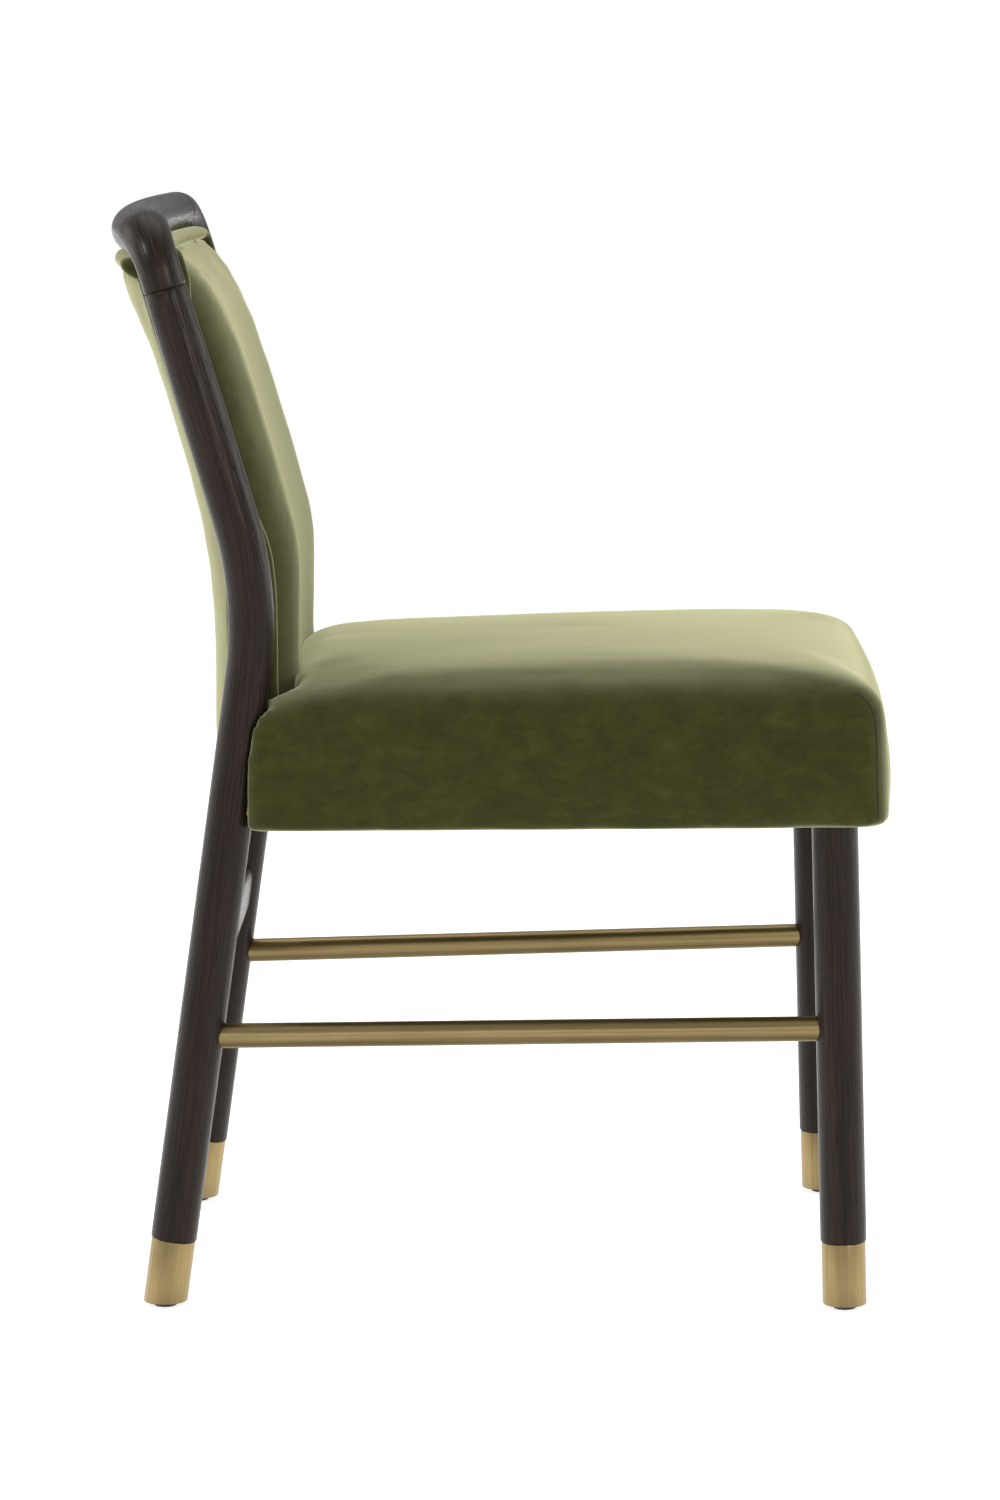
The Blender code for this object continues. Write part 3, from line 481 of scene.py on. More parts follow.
# corner blocks, from the post's circle to the crest's section
POST_TOP = post_line(S_TOP)[0]
RISE = (CREST_Z - POST_TOP.z) / HIGH.z
CREST_P = POST_TOP + HIGH * RISE
CREST_POWER = 2.15
N_SEC = 64
for side, sx in SIDES:
    path = []
    straight = RISE - CORNER_R
    for s in (0.0002, 0.0008, 0.0024, straight * 0.5, straight):
        path.append((Vector((sx * X_REAR, POST_TOP.y, POST_TOP.z)) + HIGH * s, HIGH.copy()))
    centre = Vector((sx * (X_REAR - CORNER_R), POST_TOP.y, POST_TOP.z)) + HIGH * straight
    steps = 20
    for i in range(1, steps + 1):
        a = math.pi / 2 * i / steps
        p = centre + Vector((sx * CORNER_R * math.cos(a), 0, 0)) + HIGH * (CORNER_R * math.sin(a))
        d = Vector((-sx * math.sin(a), 0, 0)) + HIGH * math.cos(a)
        path.append((p, d))
    for x in (X_REAR - CORNER_R - 0.003, X_REAR - CORNER_R - 0.006, X_CREST_END + GAP + 0.0010,
              X_CREST_END + GAP + 0.0003, X_CREST_END + GAP):
        path.append((Vector((sx * x, CREST_P.y, CREST_P.z)), Vector((-sx, 0, 0))))
    lengths = [0.0]
    for (a, _), (b, _) in zip(path[:-1], path[1:]):
        lengths.append(lengths[-1] + (b - a).length)
    st = []
    for k, ((p, d), l) in enumerate(zip(path, lengths)):
        t = smooth((l - 0.012) / (lengths[-1] - 0.012))
        a = R_POST_TOP + (CREST_A - R_POST_TOP) * t
        b = R_POST_TOP + (CREST_B - R_POST_TOP) * t
        ease = 0.0007 if k in (0, len(path) - 1) else (0.00015 if k in (1, len(path) - 2) else 0.0)
        power = 2.0 + (CREST_POWER - 2.0) * t
        shift = bow(min(abs(p.x), X_REAR))
        q, g = ring(p, d, a - ease, b - ease, l, n=N_SEC, power=power)
        st.append(([v + Vector((0, shift - Y_SHIFT, 0)) for v in q], g))
    ob = loft("corner_look_" + side, st)
    offset_grain(ob, (0.52 * sx, 0.27, 1.7 + 0.4 * sx))
    place(ob, WOOD, "dark_wood", "corner_block_" + side)

st = []
xs = [-X_CREST_END, -X_CREST_END + 0.0004, -X_CREST_END + 0.0012]
xs += [-0.146 + 0.292 * i / 36 for i in range(37)]
xs += [X_CREST_END - 0.0012, X_CREST_END - 0.0004, X_CREST_END]
for k, x in enumerate(xs):
    ease = 0.0005 if k in (0, len(xs) - 1) else (0.00015 if k in (1, len(xs) - 2) else 0.0)
    st.append(ring(P(x, CREST_P.y + bow(x), CREST_P.z), XDIR, CREST_A - ease, CREST_B - ease, x,
                   n=N_SEC, power=CREST_POWER))
ob = loft("crest_look", st)
offset_grain(ob, (0.9, 0.6, 3.1))
place(ob, WOOD, "dark_wood", "crest_rail")

# rear stretcher
zc = 0.2705
yc = FOOT_Y - RAKE * zc
across = Vector((0, LOW.z, -LOW.y))
st = []
for i in range(25):
    x = -0.1795 + 0.359 * i / 24
    st.append(ring(P(x, yc, zc), XDIR, 0.011, 0.0215, x, n=56, power=3.6, side=across))
ob = loft("rear_stretcher_look", st)
offset_grain(ob, (1.3, 0.2, 4.4))
place(ob, WOOD, "dark_wood", "rear_stretcher")

# ------------------------------------------------------------------ brass
for where in ("rear", "front"):
    for side, sx in SIDES:
        if where == "rear":
            d = LOW
            top = P(sx * X_REAR, FOOT_Y - RAKE * FERRULE_TOP, FERRULE_TOP)
            foot = P(sx * X_REAR, FOOT_Y - RAKE * FERRULE_BOTTOM, FERRULE_BOTTOM)
        else:
            d = FRONT_D
            top = P(sx * X_FRONT, front_leg_y(FERRULE_TOP), FERRULE_TOP)
            foot = P(sx * X_FRONT, front_leg_y(FERRULE_BOTTOM), FERRULE_BOTTOM)
        up = Vector((0, 0, 1))
        fz = FERRULE_BOTTOM + 0.0022
        st = []
        for dr, dz in ((0.0013, 0.0), (0.0004, 0.0003), (0.0, 0.0011)):
            r = R_FERRULE - dr
            st.append(ring(foot, d, r, r, dz, side=XDIR, level=FERRULE_BOTTOM + dz))
        for dl, dr in ((-0.030, 0.0), (-0.0009, 0.0), (-0.0002, 0.0002), (0.0, 0.0007)):
            st.append(ring(top + d * dl, d, R_FERRULE - dr, R_FERRULE - dr, 0.05 + dl, side=XDIR))
        st.append(ring(top, d, 0.0148, 0.0148, 0.05, side=XDIR))
        st.append(ring(foot, d, 0.0148, 0.0148, 0.002, side=XDIR, level=fz))
        st.append(ring(Vector((foot.x, foot.y, fz)), up, 0.0043, 0.0043, 0.002, side=XDIR))
        st.append(ring(Vector((foot.x, foot.y, FERRULE_BOTTOM)), up, 0.0043, 0.0043, 0.0, side=XDIR))
        name = "ferrule_" + where + "_" + side
        ob = loft("ferrule_look_" + where + "_" + side, st, closed_loop=True, angle=50)
        offset_grain(ob, (0.3 * sx, 0.2 if where == "rear" else 0.5, 0.0))
        place(ob, BRASS, "brass", name)
        f0 = Vector((foot.x, foot.y, 0.0))
        st = []
        for r, z in ((0.0078, 0.0), (0.0086, 0.00025), (0.0090, 0.0009), (0.0090, 0.0028), (0.0086, 0.0033),
                     (0.0040, 0.0033), (0.0040, 0.0180)):
            st.append(ring(f0 + up * z, up, r, r, z, side=XDIR, n=48))
        ob = loft("glide_look_" + where + "_" + side, st)
        place(ob, BLACK, "black_plastic", "glide_" + where + "_" + side)

for side, sx in SIDES:
    rc = P(sx * X_REAR, FOOT_Y - RAKE * Z_TUBE_REAR, Z_TUBE_REAR)
    fc = P(sx * X_FRONT, front_leg_y(Z_TUBE_FRONT), Z_TUBE_FRONT)
    d = (fc - rc).normalized()
    length = (fc - rc).length
    st = []
    n_st = 22
    n = 56
    u = (Vector((0, 0, 1)) - d * d.z).normalized()
    w = d.cross(u)

    def meet(centre, axis, radius, start, direction):
        """Where a line along the tube meets a leg: distance along the line."""
        axis = axis.normalized()
        dd = direction - axis * direction.dot(axis)
        oo = (start - centre) - axis * (start - centre).dot(axis)
        a = dd.dot(dd)
        b = 2 * dd.dot(oo)
        c = oo.dot(oo) - radius * radius
        disc = max(0.0, b * b - 4 * a * c)
        return (-b + math.sqrt(disc)) / (2 * a)

    for r_in, order in ((R_TUBE, range(n_st + 1)), (R_TUBE - 0.0016, range(n_st, -1, -1))):
        for j in order:
            pts, g = [], []
            for i in range(n):
                t = 2 * math.pi * i / n
                off = u * (r_in * math.cos(t)) + w * (r_in * math.sin(t))
                s0 = meet(rc, LOW, R_LEG + 0.0001, rc + off, d)
                s1 = length - meet(fc, FRONT_D, R_LEG + 0.0001, fc + off, -d)
                s = s0 + (s1 - s0) * j / n_st
                pts.append(rc + off + d * s)
                g.append((r_in * math.cos(t), r_in * math.sin(t), s))
            st.append((pts, g))
    ob = loft("side_stretcher_look_" + side, st, closed_loop=True, angle=50)
    offset_grain(ob, (0.7 * sx, 0.9, 0.0))
    place(ob, BRASS, "brass", "side_stretcher_" + side)

# ------------------------------------------------------------------ upholstery: shared tools


def apply_modifiers(ob):
    dg = bpy.context.evaluated_depsgraph_get()
    mesh = bpy.data.meshes.new_from_object(ob.evaluated_get(dg))
    old = ob.data
    ob.modifiers.clear()
    ob.data = mesh
    bpy.data.meshes.remove(old)
    return ob


def puff(ob, voxel, pressure, cap, hold, frames=20, tension=15.0, shrink=0.0, calm=10, relax=4):
    """Cloth under light air pressure.  hold(co) gives 0..1, how firmly a point is nailed down."""
    m = ob.modifiers.new("remesh", 'REMESH')
    m.mode = 'VOXEL'
    m.voxel_size = voxel
    m.use_smooth_shade = True
    apply_modifiers(ob)
    sm = ob.modifiers.new("relax", 'SMOOTH')
    sm.iterations = relax
    sm.factor = 0.5
    apply_modifiers(ob)
    start = np.array([v.co for v in ob.data.vertices])
    group = ob.vertex_groups.new(name="pin")
    for i, co in enumerate(start):
        w = hold(co)
        if w > 0:
            group.add([i], w, 'REPLACE')
    mod = ob.modifiers.new("cloth", 'CLOTH')
    s = mod.settings
    s.quality = 6
    s.mass = 0.35
    s.tension_stiffness = tension
    s.compression_stiffness = tension
    s.shear_stiffness = tension * 0.6
    s.bending_stiffness = 1.2
    s.use_pressure = True
    s.uniform_pressure_force = pressure
    s.vertex_group_mass = "pin"
    s.pin_stiffness = 1.0
    s.shrink_min = shrink
    s.effector_weights.gravity = 0.0
    mod.collision_settings.use_collision = False
    mod.collision_settings.use_self_collision = False
    mod.point_cache.frame_start = 1
    mod.point_cache.frame_end = frames
    sc = bpy.context.scene
    sc.frame_start, sc.frame_end = 1, frames
    for f in range(1, frames + 1):
        sc.frame_set(f)
    apply_modifiers(ob)
    sc.frame_set(1)
    end = np.array([v.co for v in ob.data.vertices])
    move = end - start
    d = np.linalg.norm(move, axis=1)
    move *= np.where(d > cap, cap / np.maximum(d, 1e-9), 1.0)[:, None]
    edges = np.array([e.vertices[:] for e in ob.data.edges])
    count = np.bincount(edges.ravel(), minlength=len(start)).astype(float)[:, None]
    for _ in range(calm):
        acc = np.zeros_like(move)
        np.add.at(acc, edges[:, 0], move[edges[:, 1]])
        np.add.at(acc, edges[:, 1], move[edges[:, 0]])
        move = move * 0.4 + 0.6 * acc / count
    end = start + move
    ob.data.vertices.foreach_set("co", end.astype(np.float32).ravel())
    ob.data.update()
    return ob


def even_out(ob, weight, rounds=14):
    """Relaxes the cover where weight(co) is above 0."""
    me = ob.data
    co = np.array([v.co for v in me.vertices])
    edges = np.array([e.vertices[:] for e in me.edges])
    count = np.bincount(edges.ravel(), minlength=len(co)).astype(float)[:, None]
    w = np.array([weight(c) for c in co])[:, None]
    for k in range(rounds * 2):
        acc = np.zeros_like(co)
        np.add.at(acc, edges[:, 0], co[edges[:, 1]])
        np.add.at(acc, edges[:, 1], co[edges[:, 0]])
        co = co + (acc / count - co) * w * (0.62 if k % 2 == 0 else -0.60)
    me.vertices.foreach_set("co", co.astype(np.float32).ravel())
    me.update()


def displace(ob, f):
    """Moves each vertex along its normal by f(co, normal)."""
    me = ob.data
    n = len(me.vertices)
    co = np.empty(n * 3, np.float32)
    no = np.empty(n * 3, np.float32)
    me.vertices.foreach_get("co", co)
    me.vertex_normals.foreach_get("vector", no)
    co = co.reshape(-1, 3).astype(float)
    no = no.reshape(-1, 3).astype(float)
    co += no * f(co, no)[:, None]
    me.vertices.foreach_set("co", co.astype(np.float32).ravel())
    me.update()


def grid_slab(name, x_half, z0, z1, front, back, nx, nz, point=panel_point):
    bm = bmesh.new()
    grids = []
    for f in (front, back):
        g = []
        for j in range(nz + 1):
            z = z0 + (z1 - z0) * j / nz
            g.append([bm.verts.new(point(-x_half + 2 * x_half * i / nx, z,
                                         f(-x_half + 2 * x_half * i / nx, z)))
                      for i in range(nx + 1)])
        grids.append(g)
    a, b = grids
    for j in range(nz):
        for i in range(nx):
            bm.faces.new((a[j][i], a[j][i + 1], a[j + 1][i + 1], a[j + 1][i]))
            bm.faces.new((b[j][i], b[j + 1][i], b[j + 1][i + 1], b[j][i + 1]))
    loop = ([(0, i) for i in range(nx + 1)] + [(j, nx) for j in range(1, nz + 1)]
            + [(nz, i) for i in range(nx - 1, -1, -1)] + [(j, 0) for j in range(nz - 1, 0, -1)])
    for k in range(len(loop)):
        j0, i0 = loop[k]
        j1, i1 = loop[(k + 1) % len(loop)]
        bm.faces.new((a[j0][i0], b[j0][i0], b[j1][i1], a[j1][i1]))
    bmesh.ops.recalc_face_normals(bm, faces=bm.faces)
    mesh = bpy.data.meshes.new(name)
    bm.to_mesh(mesh)
    bm.free()
    return new_object(name, mesh)


def prism(name, outline, z0, z1):
    bm = bmesh.new()
    lo = [bm.verts.new(P(x, y, z0)) for x, y in outline]
    hi = [bm.verts.new(P(x, y, z1)) for x, y in outline]
    n = len(outline)
    for i in range(n):
        j = (i + 1) % n
        bm.faces.new((lo[i], lo[j], hi[j], hi[i]))
    bm.faces.new(list(reversed(lo)))
    bm.faces.new(hi)
    bmesh.ops.recalc_face_normals(bm, faces=bm.faces)
    mesh = bpy.data.meshes.new(name)
    bm.to_mesh(mesh)
    bm.free()
    return new_object(name, mesh)


def cut_with(ob, tool):
    m = ob.modifiers.new("cut", 'BOOLEAN')
    m.operation = 'DIFFERENCE'
    m.solver = 'EXACT'
    m.object = tool
    apply_modifiers(ob)
    bpy.data.objects.remove(tool, do_unlink=True)


# ------------------------------------------------------------------ seat cushion
def seat_outline(inset, r_front=0.020, r_rear=0.010, y_rear=None, n_arc=8, n_run=10, bow_front=0.004):
    yr = (SEAT_REAR_Y if y_rear is None else y_rear) - (inset if y_rear is None else 0.0)
    yf = SEAT_FRONT_Y + inset

    def half(y):
        t = (y - SEAT_FRONT_Y) / (SEAT_REAR_Y - SEAT_FRONT_Y)
        return SEAT_HALF_FRONT + (SEAT_HALF_REAR - SEAT_HALF_FRONT) * t - inset

    # the crown's corners swing wider the further in they lie, so no hip shows
    rf = max(r_front - min(inset, 0.015) * 0.35, 0.003) + max(0.0, inset - 0.015) * 0.95
    rf = min(rf, half(yf) - 0.002)
    rr = max(r_rear - inset * 0.35, 0.003)
    corner = [(half(yf), yf, rf, -90), (half(yr), yr, rr, 0),
              (-half(yr), yr, rr, 90), (-half(yf), yf, rf, 180)]
    pts = []
    for k, (cx, cy, r, start) in enumerate(corner):
        sx = 1 if cx > 0 else -1
        sy = 1 if cy > 0.0 else -1
        ox, oy = cx - sx * r, cy - sy * r
        for i in range(n_arc + 1):
            a = math.radians(start + 90.0 * i / n_arc)
            pts.append((ox + r * math.cos(a), oy + r * math.sin(a)))
        nx, ny, nrr, _ = corner[(k + 1) % 4]
        a_end = math.radians(start + 90.0)
        p_end = (ox + r * math.cos(a_end), oy + r * math.sin(a_end))
        nsx = 1 if nx > 0 else -1
        nsy = 1 if ny > 0.0 else -1
        q = (nx - nsx * nrr + nrr * math.cos(a_end), ny - nsy * nrr + nrr * math.sin(a_end))
        for i in range(1, n_run):
            t = i / n_run
            pts.append((p_end[0] + (q[0] - p_end[0]) * t, p_end[1] + (q[1] - p_end[1]) * t))
    out = []
    for x, y in pts:
        if y < yf + 0.02:
            w = max(0.0, 1.0 - (x / SEAT_HALF_FRONT) ** 2) * max(0.0, 1 - (y - yf) / 0.02)
            y -= bow_front * w
        out.append((x, y))
    return out


def tilt(y):
    return -SEAT_TILT * (y + 0.06)


# inset from the outline against height above the cushion's underside
PROFILE = [(0.0060, 0.0), (0.0022, 0.0006), (0.0003, 0.0026), (0.0, 0.008), (0.0, 0.030), (0.0, 0.050), (0.0, 0.070),
           (0.0006, 0.084), (0.0026, 0.0945), (0.0070, 0.1030), (0.0145, 0.1095), (0.0262, 0.1150),
           (0.0450, 0.1195), (0.0700, 0.1230), (0.0980, 0.1256), (0.1260, 0.1273),
           (0.1540, 0.12855), (0.1800, 0.12940), (0.2020, 0.1298)]


def crown_drop(y, rise):
    """The crown falls away a little towards the back."""
    k = smooth((rise - 0.100) / 0.02)
    t = max(0.0, (y - 0.118) / 0.05)
    tuck = min(0.0150, 0.0100 * t * t) * smooth((rise - 0.055) / 0.05)
    return -0.0026 * k * smooth((y + 0.10) / 0.24) - tuck


def seat_form(name, shrink):
    bm = bmesh.new()
    rows = []
    for inset, rise in PROFILE:
        row = []
        for x, y in seat_outline(inset + shrink, y_rear=SEAT_REAR_Y, n_arc=10, n_run=24):
            z = SEAT_Z0 - 0.0022 + rise + crown_drop(y, rise)
            row.append(bm.verts.new(P(x, y, z + tilt(y))))
        rows.append(row)
    n = len(rows[0])
    for a, b in zip(rows[:-1], rows[1:]):
        for i in range(n):
            j = (i + 1) % n
            bm.faces.new((a[i], a[j], b[j], b[i]))
    bm.faces.new(list(reversed(rows[0])))
    bm.faces.new(rows[-1])
    bmesh.ops.recalc_face_normals(bm, faces=bm.faces)
    mesh = bpy.data.meshes.new(name)
    bm.to_mesh(mesh)
    bm.free()
    return new_object(name, mesh)


def wedge(name, rows):
    """Closed solid through rectangles given as (z, y_front, y_rear)."""
    bm = bmesh.new()
    rings = [[bm.verts.new(P(x, y, z)) for x, y in ((-0.32, y0), (0.32, y0), (0.32, y1), (-0.32, y1))]
             for z, y0, y1 in rows]
    for a, b in zip(rings[:-1], rings[1:]):
        for i in range(4):
            j = (i + 1) % 4
            bm.faces.new((a[i], a[j], b[j], b[i]))
    bm.faces.new(list(reversed(rings[0])))
    bm.faces.new(rings[-1])
    bmesh.ops.recalc_face_normals(bm, faces=bm.faces)
    mesh = bpy.data.meshes.new(name)
    bm.to_mesh(mesh)
    bm.free()
    return new_object(name, mesh)


def post_clearance(sx, extra):
    st = []
    for i in range(40):
        s0 = 0.30 + 0.36 * i / 39
        c, d = post_line(s0)
        st.append(ring(P(sx * X_REAR, c.y, c.z), d, R_LEG + extra, R_LEG + extra, s0, n=32, side=XDIR))
    return loft("clearance", st)


def make_seat():
    ob = seat_form("seat_look", 0.0012)
    # the ends beside the posts stop on a line that follows their rake
    cut_with(ob, wedge("rake", ((0.34, 0.2125, 0.36), (0.465, 0.1914, 0.36), (0.60, 0.1500, 0.36))))
    # the back goes down behind the cushion, between the posts
    xs = [-0.1780 + 0.356 * i / 28 for i in range(29)]
    rear = [(x, PANEL_LOW_Y - 0.0400 + bow(x)) for x in xs]
    cut_with(ob, prism("gap", rear + [(0.1780, 0.30), (-0.1780, 0.30)], 0.30, 0.60))
    for sx in (-1, 1):
        cut_with(ob, post_clearance(sx, 0.0012))

    def hold(co):
        y = co[1] + Y_SHIFT
        if co[2] - tilt(y) < SEAT_Z0 + 0.010 or y > 0.150:
            return 1.0
        return 0.0

    puff(ob, 0.0045, 4.0, 0.0022, hold, calm=14, relax=3)
    even_out(ob, lambda c: smooth((c[2] - tilt(c[1] + Y_SHIFT) - SEAT_Z0 - 0.088) / 0.016), 26)
    sub = ob.modifiers.new("sub", 'SUBSURF')
    sub.levels = sub.render_levels = 1
    apply_modifiers(ob)
    return ob


def seam(ob, guesses, radius, name):
    """A sewn seam laid on the finished cover: a fine welt half sunk in the pile, joined to its cushion."""
    from mathutils.bvhtree import BVHTree
    tree = BVHTree.FromObject(ob, bpy.context.evaluated_depsgraph_get())
    pts = []
    for g in guesses:
        co, no, _, _ = tree.find_nearest(g)
        pts.append(co - no * radius * 0.25)
    for _ in range(3):
        pts = [pts[0]] + [(a + b * 2 + c) / 4 for a, b, c in zip(pts[:-2], pts[1:-1], pts[2:])] + [pts[-1]]
    st = []
    l = 0.0
    for k, p in enumerate(pts):
        d = (pts[min(k + 1, len(pts) - 1)] - pts[max(k - 1, 0)]).normalized()
        end = min(k, len(pts) - 1 - k)
        r = radius * (0.25 if end == 0 else 0.7 if end == 1 else 1.0)
        st.append(ring(p, d, r, r, l, n=10, side=Vector((0.3, 0.2, 0.9))))
        if k + 1 < len(pts):
            l += (pts[k + 1] - p).length
    return loft(name, st, angle=80)


def spread(points, n):
    out = []
    for (a, b) in zip(points[:-1], points[1:]):
        for i in range(n):
            out.append(a.lerp(b, i / n))
    out.append(points[-1])
    return out


seat = make_seat()
seat.name = "seat_look"
shade(seat, 70)
place(seat, VELVET, "velvet", "seat_cushion")
for side, sx in SIDES:
    line = [P(sx * 0.2455, -0.2930, 0.3865), P(sx * 0.2455, -0.2938, 0.410), P(sx * 0.2455, -0.2942, 0.445),
            P(sx * 0.2450, -0.2935, 0.460), P(sx * 0.2440, -0.2900, 0.474), P(sx * 0.2420, -0.2830, 0.486),
            P(sx * 0.2385, -0.2730, 0.4950)]
    ob = seam(seat, spread(line, 8), 0.00075, "seat_seam_look_" + side)
    ob.data.materials.clear()
    ob.data.materials.append(SEAM)
    ob.parent = seat

# ------------------------------------------------------------------ back pads
Z_BACK_TOP = CREST_Z - (CREST_B + 0.0012) * HIGH.z
PAD_HALF_W = 0.1613
PAD_TOP = Z_BACK_TOP - 0.0068
PANEL_Z0 = 0.394
FRONT_PAD_Z0 = 0.470


def lerp_table(t, table):
    for (a, u), (b, v) in zip(table[:-1], table[1:]):
        if t <= b:
            k = max(0.0, (t - a) / (b - a))
            k = k * k * (3 - 2 * k)
            return u + (v - u) * k
    return table[-1][1]


FRONT_DEPTH = ((0.47, 0.0468), (0.50, 0.0474), (0.53, 0.0484), (0.56, 0.0490), (0.60, 0.0486), (0.65, 0.0494),
               (0.70, 0.0493), (0.74, 0.0484), (0.765, 0.0460), (0.785, 0.0424), (0.800, 0.0368), (0.815, 0.0272))
REAR_DEPTH = ((0.40, 0.0174), (0.44, 0.0180), (0.50, 0.0173), (0.53, 0.0180), (0.56, 0.0198), (0.59, 0.0206),
              (0.62, 0.0184), (0.66, 0.0166), (0.71, 0.0163), (0.745, 0.0170), (0.774, 0.0202), (0.79, 0.0228),
              (0.815, 0.0246))


def front_face(x, z):
    """Firm boxed pad: full in the middle of its height, wedging into the top roll."""
    full = lerp_table(z, FRONT_DEPTH)
    d = PAD_HALF_W - abs(x)
    t = max(0.0, min(1.0, d / 0.044))
    f = 1.0 - (1.0 - t) ** 1.75
    low = 0.0130 + (full - 0.0230) * 0.25
    return -(low + (full - low) * f)


def rear_face(x, z):
    """Thin cover over the rear, gently crowned from edge to edge."""
    full = lerp_table(z, REAR_DEPTH)
    d = min((PAD_TOP - z) * 4.5, (z - (PANEL_Z0 + 0.012)) * 2.4)
    t = max(0.0, min(1.0, d / 0.050))
    f = (1.0 - (1.0 - t) ** 2.0) ** 0.5
    f *= 1.0 - (abs(x) / PAD_HALF_W) ** 2.6
    return 0.0112 + (full - 0.0112) * f


def make_pad(name, z0, front, back, hold, pressure, cap):
    ob = grid_slab(name, PAD_HALF_W, z0, PAD_TOP, front, back, 60, 70)
    puff(ob, 0.0040, pressure, cap, hold, calm=16, relax=2)
    sub = ob.modifiers.new("sub", 'SUBSURF')
    sub.levels = sub.render_levels = 1
    apply_modifiers(ob)
    shade(ob, 70)
    return ob


def depth_of(co):
    """Depth v of a point relative to the curved panel."""
    z = co[2]
    for _ in range(3):
        slope, c = panel_frame(z)
        v = ((co[1] + Y_SHIFT) - panel_y(z) - bow(co[0])) * c
        z = co[2] + v * slope * c
    return v


def hold_front(co):
    return 1.0 if depth_of(co) > -0.012 else 0.0


def hold_rear(co):
    return 1.0 if depth_of(co) < 0.0075 else 0.0


front_pad = make_pad("back_front_look", FRONT_PAD_Z0, front_face, lambda x, z: -0.0054, hold_front, 3.0, 0.0018)
place(front_pad, VELVET, "velvet", "back_front_pad")
rear_pad = make_pad("back_rear_look", PANEL_Z0 + 0.0150, lambda x, z: 0.0054, rear_face, hold_rear, 3.0, 0.0015)
place(rear_pad, VELVET, "velvet", "back_rear_pad")

# padded edge rolls, front and rear


def roll_section(z, front):
    """A roll's section at a height: depth of its middle, its half depth, and how much it is squeezed under the crest."""
    if front:
        low = 1.0 - smooth((z - 0.585) / 0.05)
        top = smooth((z - 0.776) / 0.028)
        return -(0.0112 + 0.0024 * low + 0.0022 * top), 0.0076 + 0.0026 * low + 0.0026 * top, 1.0 - 0.20 * top
    top = smooth((z - (Z_BACK_TOP - 0.0125)) / 0.0095)
    return 0.0094 + 0.0076 * top, 0.0066 + 0.0014 * top, 1.0 - 0.28 * top


def roll(name, front, node, r_roll=0.0068):
    xh = X_REAR - R_LEG - 0.0008 - 0.0075
    z0, z1 = PANEL_Z0 + 0.0075, Z_BACK_TOP - 0.0075 + (0.0052 if front else 0.0056)
    r = 0.0098
    pts = []
    spans = [((-xh + r, z0), (xh - r, z0), 60), ((xh, z0 + r), (xh, z1 - r), 80),
             ((xh - r, z1), (-xh + r, z1), 60), ((-xh, z1 - r), (-xh, z0 + r), 80)]
    centres = [(xh - r, z0 + r, -90), (xh - r, z1 - r, 0), (-xh + r, z1 - r, 90), (-xh + r, z0 + r, 180)]
    for (p, q, n), (cx, cz, a0) in zip(spans, centres):
        for i in range(n):
            t = i / n
            pts.append((p[0] + (q[0] - p[0]) * t, p[1] + (q[1] - p[1]) * t))
        for i in range(8):
            a = math.radians(a0 + 90 * i / 8)
            pts.append((cx + r * math.cos(a), cz + r * math.sin(a)))
    path = [panel_point(x, z, roll_section(z, front)[0]) for x, z in pts]
    n = len(path)
    st = []
    l = 0.0
    for k in range(n):
        d = (path[(k + 1) % n] - path[(k - 1) % n]).normalized()
        swell = 1.0 + 0.03 * noise.noise(Vector((l * 55.0, 4.0 if front else 9.0, 0.3)))
        _, deep, squeeze = roll_section(pts[k][1], front)
        st.append(ring(path[k], d, deep * swell, r_roll * squeeze * swell, l, n=24, power=2.2, side=Vector((0, 1, 0))))
        l += (path[(k + 1) % n] - path[k]).length
    ob = loft(name, st, closed_loop=True, angle=80)
    place(ob, VELVET, "velvet", node)
    return ob


roll("back_roll_front_look", True, "back_roll_front")
roll("back_roll_rear_look", False, "back_roll_rear")

# ------------------------------------------------------------------ stage, camera, light
bm = bmesh.new()
bmesh.ops.create_grid(bm, x_segments=4, y_segments=4, size=12.0)
me = bpy.data.meshes.new("floor")
bm.to_mesh(me)
bm.free()
floor = new_object("floor", me)
fm = Nodes("floor_look")
fn = fm.noise(fm.coords(), 3.0, 2.0, 0.5)
fm.link(fm.ramp(fn, [(0.3, (0.60, 0.60, 0.60)), (0.7, (0.62, 0.62, 0.62))]), fm.bsdf.inputs["Base Color"])
fm.bsdf.inputs["Roughness"].default_value = 0.9
fm.bsdf.inputs["Emission Color"].default_value = (1, 1, 1, 1)
fm.bsdf.inputs["Emission Strength"].default_value = 0.74
fm.bsdf.inputs["Specular IOR Level"].default_value = 0.0
floor.data.materials.append(fm.mat)
floor.visible_glossy = False

F_PX, YAW, PITCH, ROLL = 5800.0, 0.01509, 0.1372, -0.00857
CAM = Vector((-4.65661, -0.06877, 1.05544))
fw = Vector((math.cos(YAW) * math.cos(PITCH), math.sin(YAW) * math.cos(PITCH), -math.sin(PITCH)))
right = fw.cross(Vector((0, 0, 1))).normalized()
up = right.cross(fw)
r2 = right * math.cos(ROLL) + up * math.sin(ROLL)
u2 = -right * math.sin(ROLL) + up * math.cos(ROLL)
cam_data = bpy.data.cameras.new("camera")
cam_data.sensor_width = 36.0
cam_data.lens = F_PX / 1500.0 * 36.0
cam_data.clip_end = 60.0
cam = bpy.data.objects.new("camera", cam_data)
bpy.context.scene.collection.objects.link(cam)
m = Matrix((r2, u2, -fw)).transposed().to_4x4()
m.translation = CAM
cam.matrix_world = m
bpy.context.scene.camera = cam


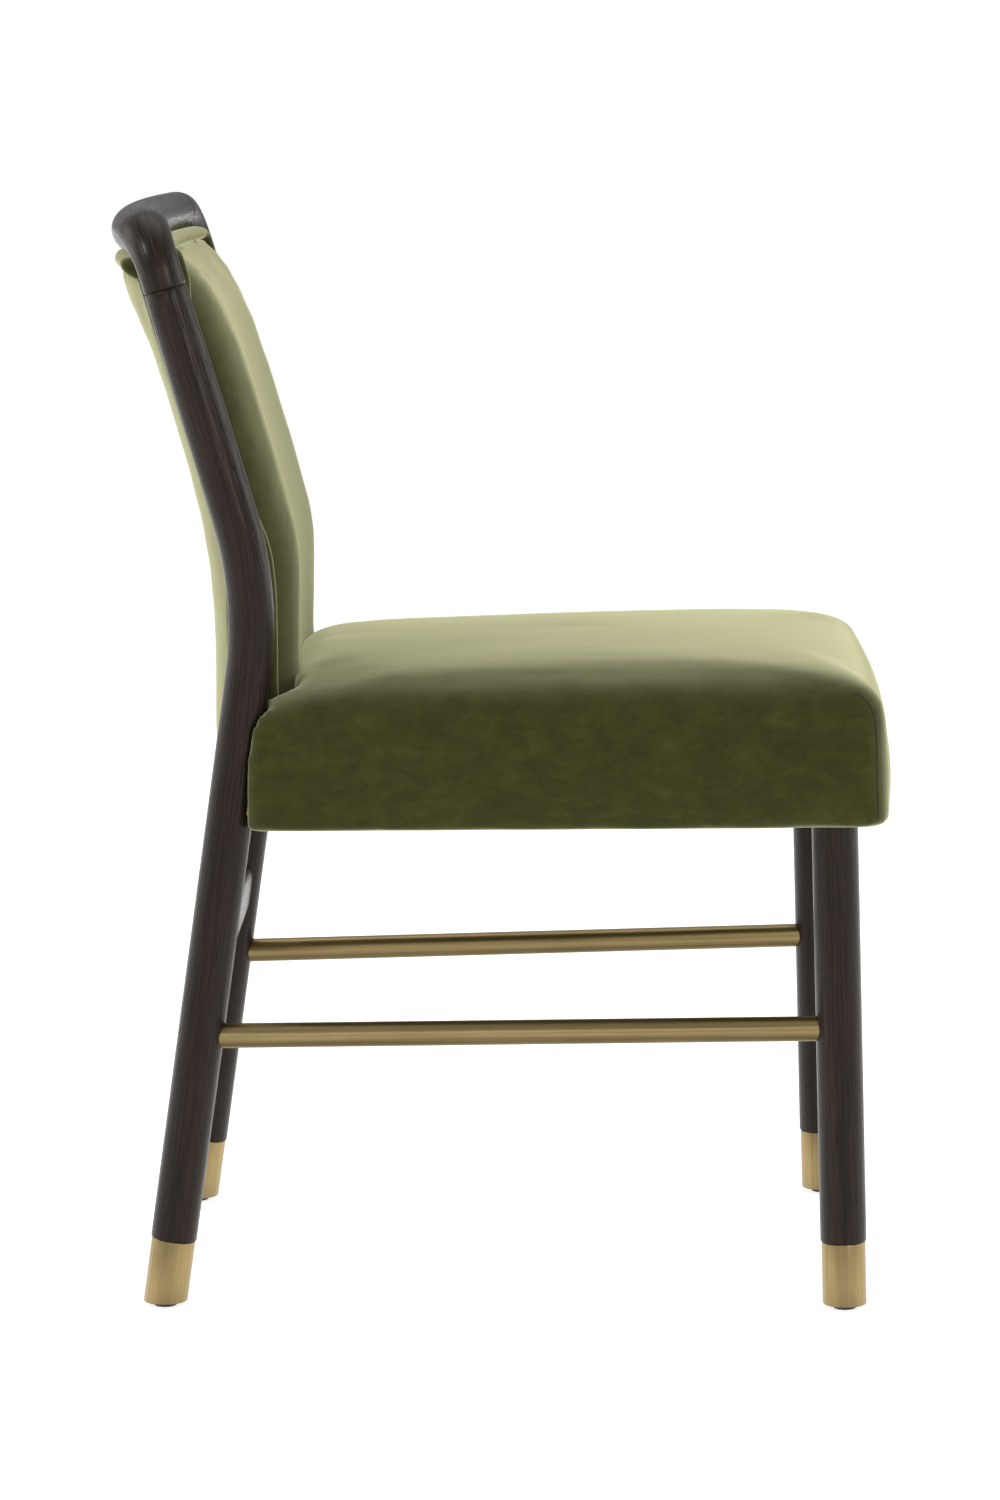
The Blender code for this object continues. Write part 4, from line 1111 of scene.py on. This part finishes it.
def area(name, loc, target, size, power, color=(1, 1, 1), size_y=None):
    d = bpy.data.lights.new(name, 'AREA')
    d.shape = 'RECTANGLE'
    d.size = size
    d.size_y = size_y or size
    d.energy = power
    d.color = color
    ob = bpy.data.objects.new(name, d)
    bpy.context.scene.collection.objects.link(ob)
    ob.location = loc
    ob.rotation_euler = (Vector(target) - Vector(loc)).to_track_quat('-Z', 'Y').to_euler()
    return ob


area("top", (0.5, 0.0, 3.2), (0.1, 0, 0.4), 2.4, 24)
area("front_side", (0.9, -3.2, 1.5), (0, 0, 0.5), 2.2, 37)
area("rear_side", (0.9, 3.2, 1.5), (0, 0, 0.6), 2.2, 27)
area("camera_side", (-4.4, 0.6, 1.45), (0, 0, 0.45), 1.1, 14, size_y=1.1)
area("strip_front", (-3.5, -2.1, 1.9), (0, 0, 0.6), 0.32, 44, size_y=1.5)
area("strip_rear", (-1.9, 2.9, 2.9), (0, 0.1, 0.75), 0.6, 46, size_y=1.3)

# a bright studio all round, dimmer behind the camera; the backdrop itself is plain white
world = bpy.data.worlds.new("studio")
bpy.context.scene.world = world
world.use_nodes = True
wt = world.node_tree
bg = wt.nodes["Background"]
bg.inputs["Strength"].default_value = 1.0
tc = wt.nodes.new("ShaderNodeTexCoord")
sep = wt.nodes.new("ShaderNodeSeparateXYZ")
wt.links.new(tc.outputs["Generated"], sep.inputs[0])


def wmath(op, a, b):
    n = wt.nodes.new("ShaderNodeMath")
    n.operation = op
    for k, v in enumerate((a, b)):
        if isinstance(v, bpy.types.NodeSocket):
            wt.links.new(v, n.inputs[k])
        else:
            n.inputs[k].default_value = v
    return n.outputs[0]


sides_glow = wmath('MULTIPLY', wmath('MULTIPLY', sep.outputs["Y"], sep.outputs["Y"]), 0.45)
far_glow = wmath('MULTIPLY', wmath('MAXIMUM', sep.outputs["X"], 0.0), 0.30)
sky_glow = wmath('MULTIPLY', wmath('MAXIMUM', sep.outputs["Z"], 0.0), 0.30)
# what polished pieces mirror of the white floor: brightest towards the horizon
under = wmath('MAXIMUM', wmath('MULTIPLY', sep.outputs["Z"], -1.0), 0.0)
near_floor = wmath('MINIMUM', wmath('MULTIPLY', under, 16.0), 1.0)
floor_glow = wmath('MULTIPLY', near_floor, wmath('SUBTRACT', 1.30, wmath('MULTIPLY', under, 0.95)))
total = wmath('ADD', wmath('ADD', sides_glow, far_glow), wmath('ADD', sky_glow, 0.11))
total = wmath('ADD', total, floor_glow)
lp = wt.nodes.new("ShaderNodeLightPath")
wm = wt.nodes.new("ShaderNodeMix")
wm.data_type = 'RGBA'
wt.links.new(lp.outputs["Is Camera Ray"], wm.inputs[0])
wt.links.new(total, wm.inputs[6])
wm.inputs[7].default_value = (1, 1, 1, 1)
wt.links.new(wm.outputs[2], bg.inputs["Color"])

bpy.context.scene.view_settings.view_transform = 'Standard'
bpy.context.scene.view_settings.look = 'None'
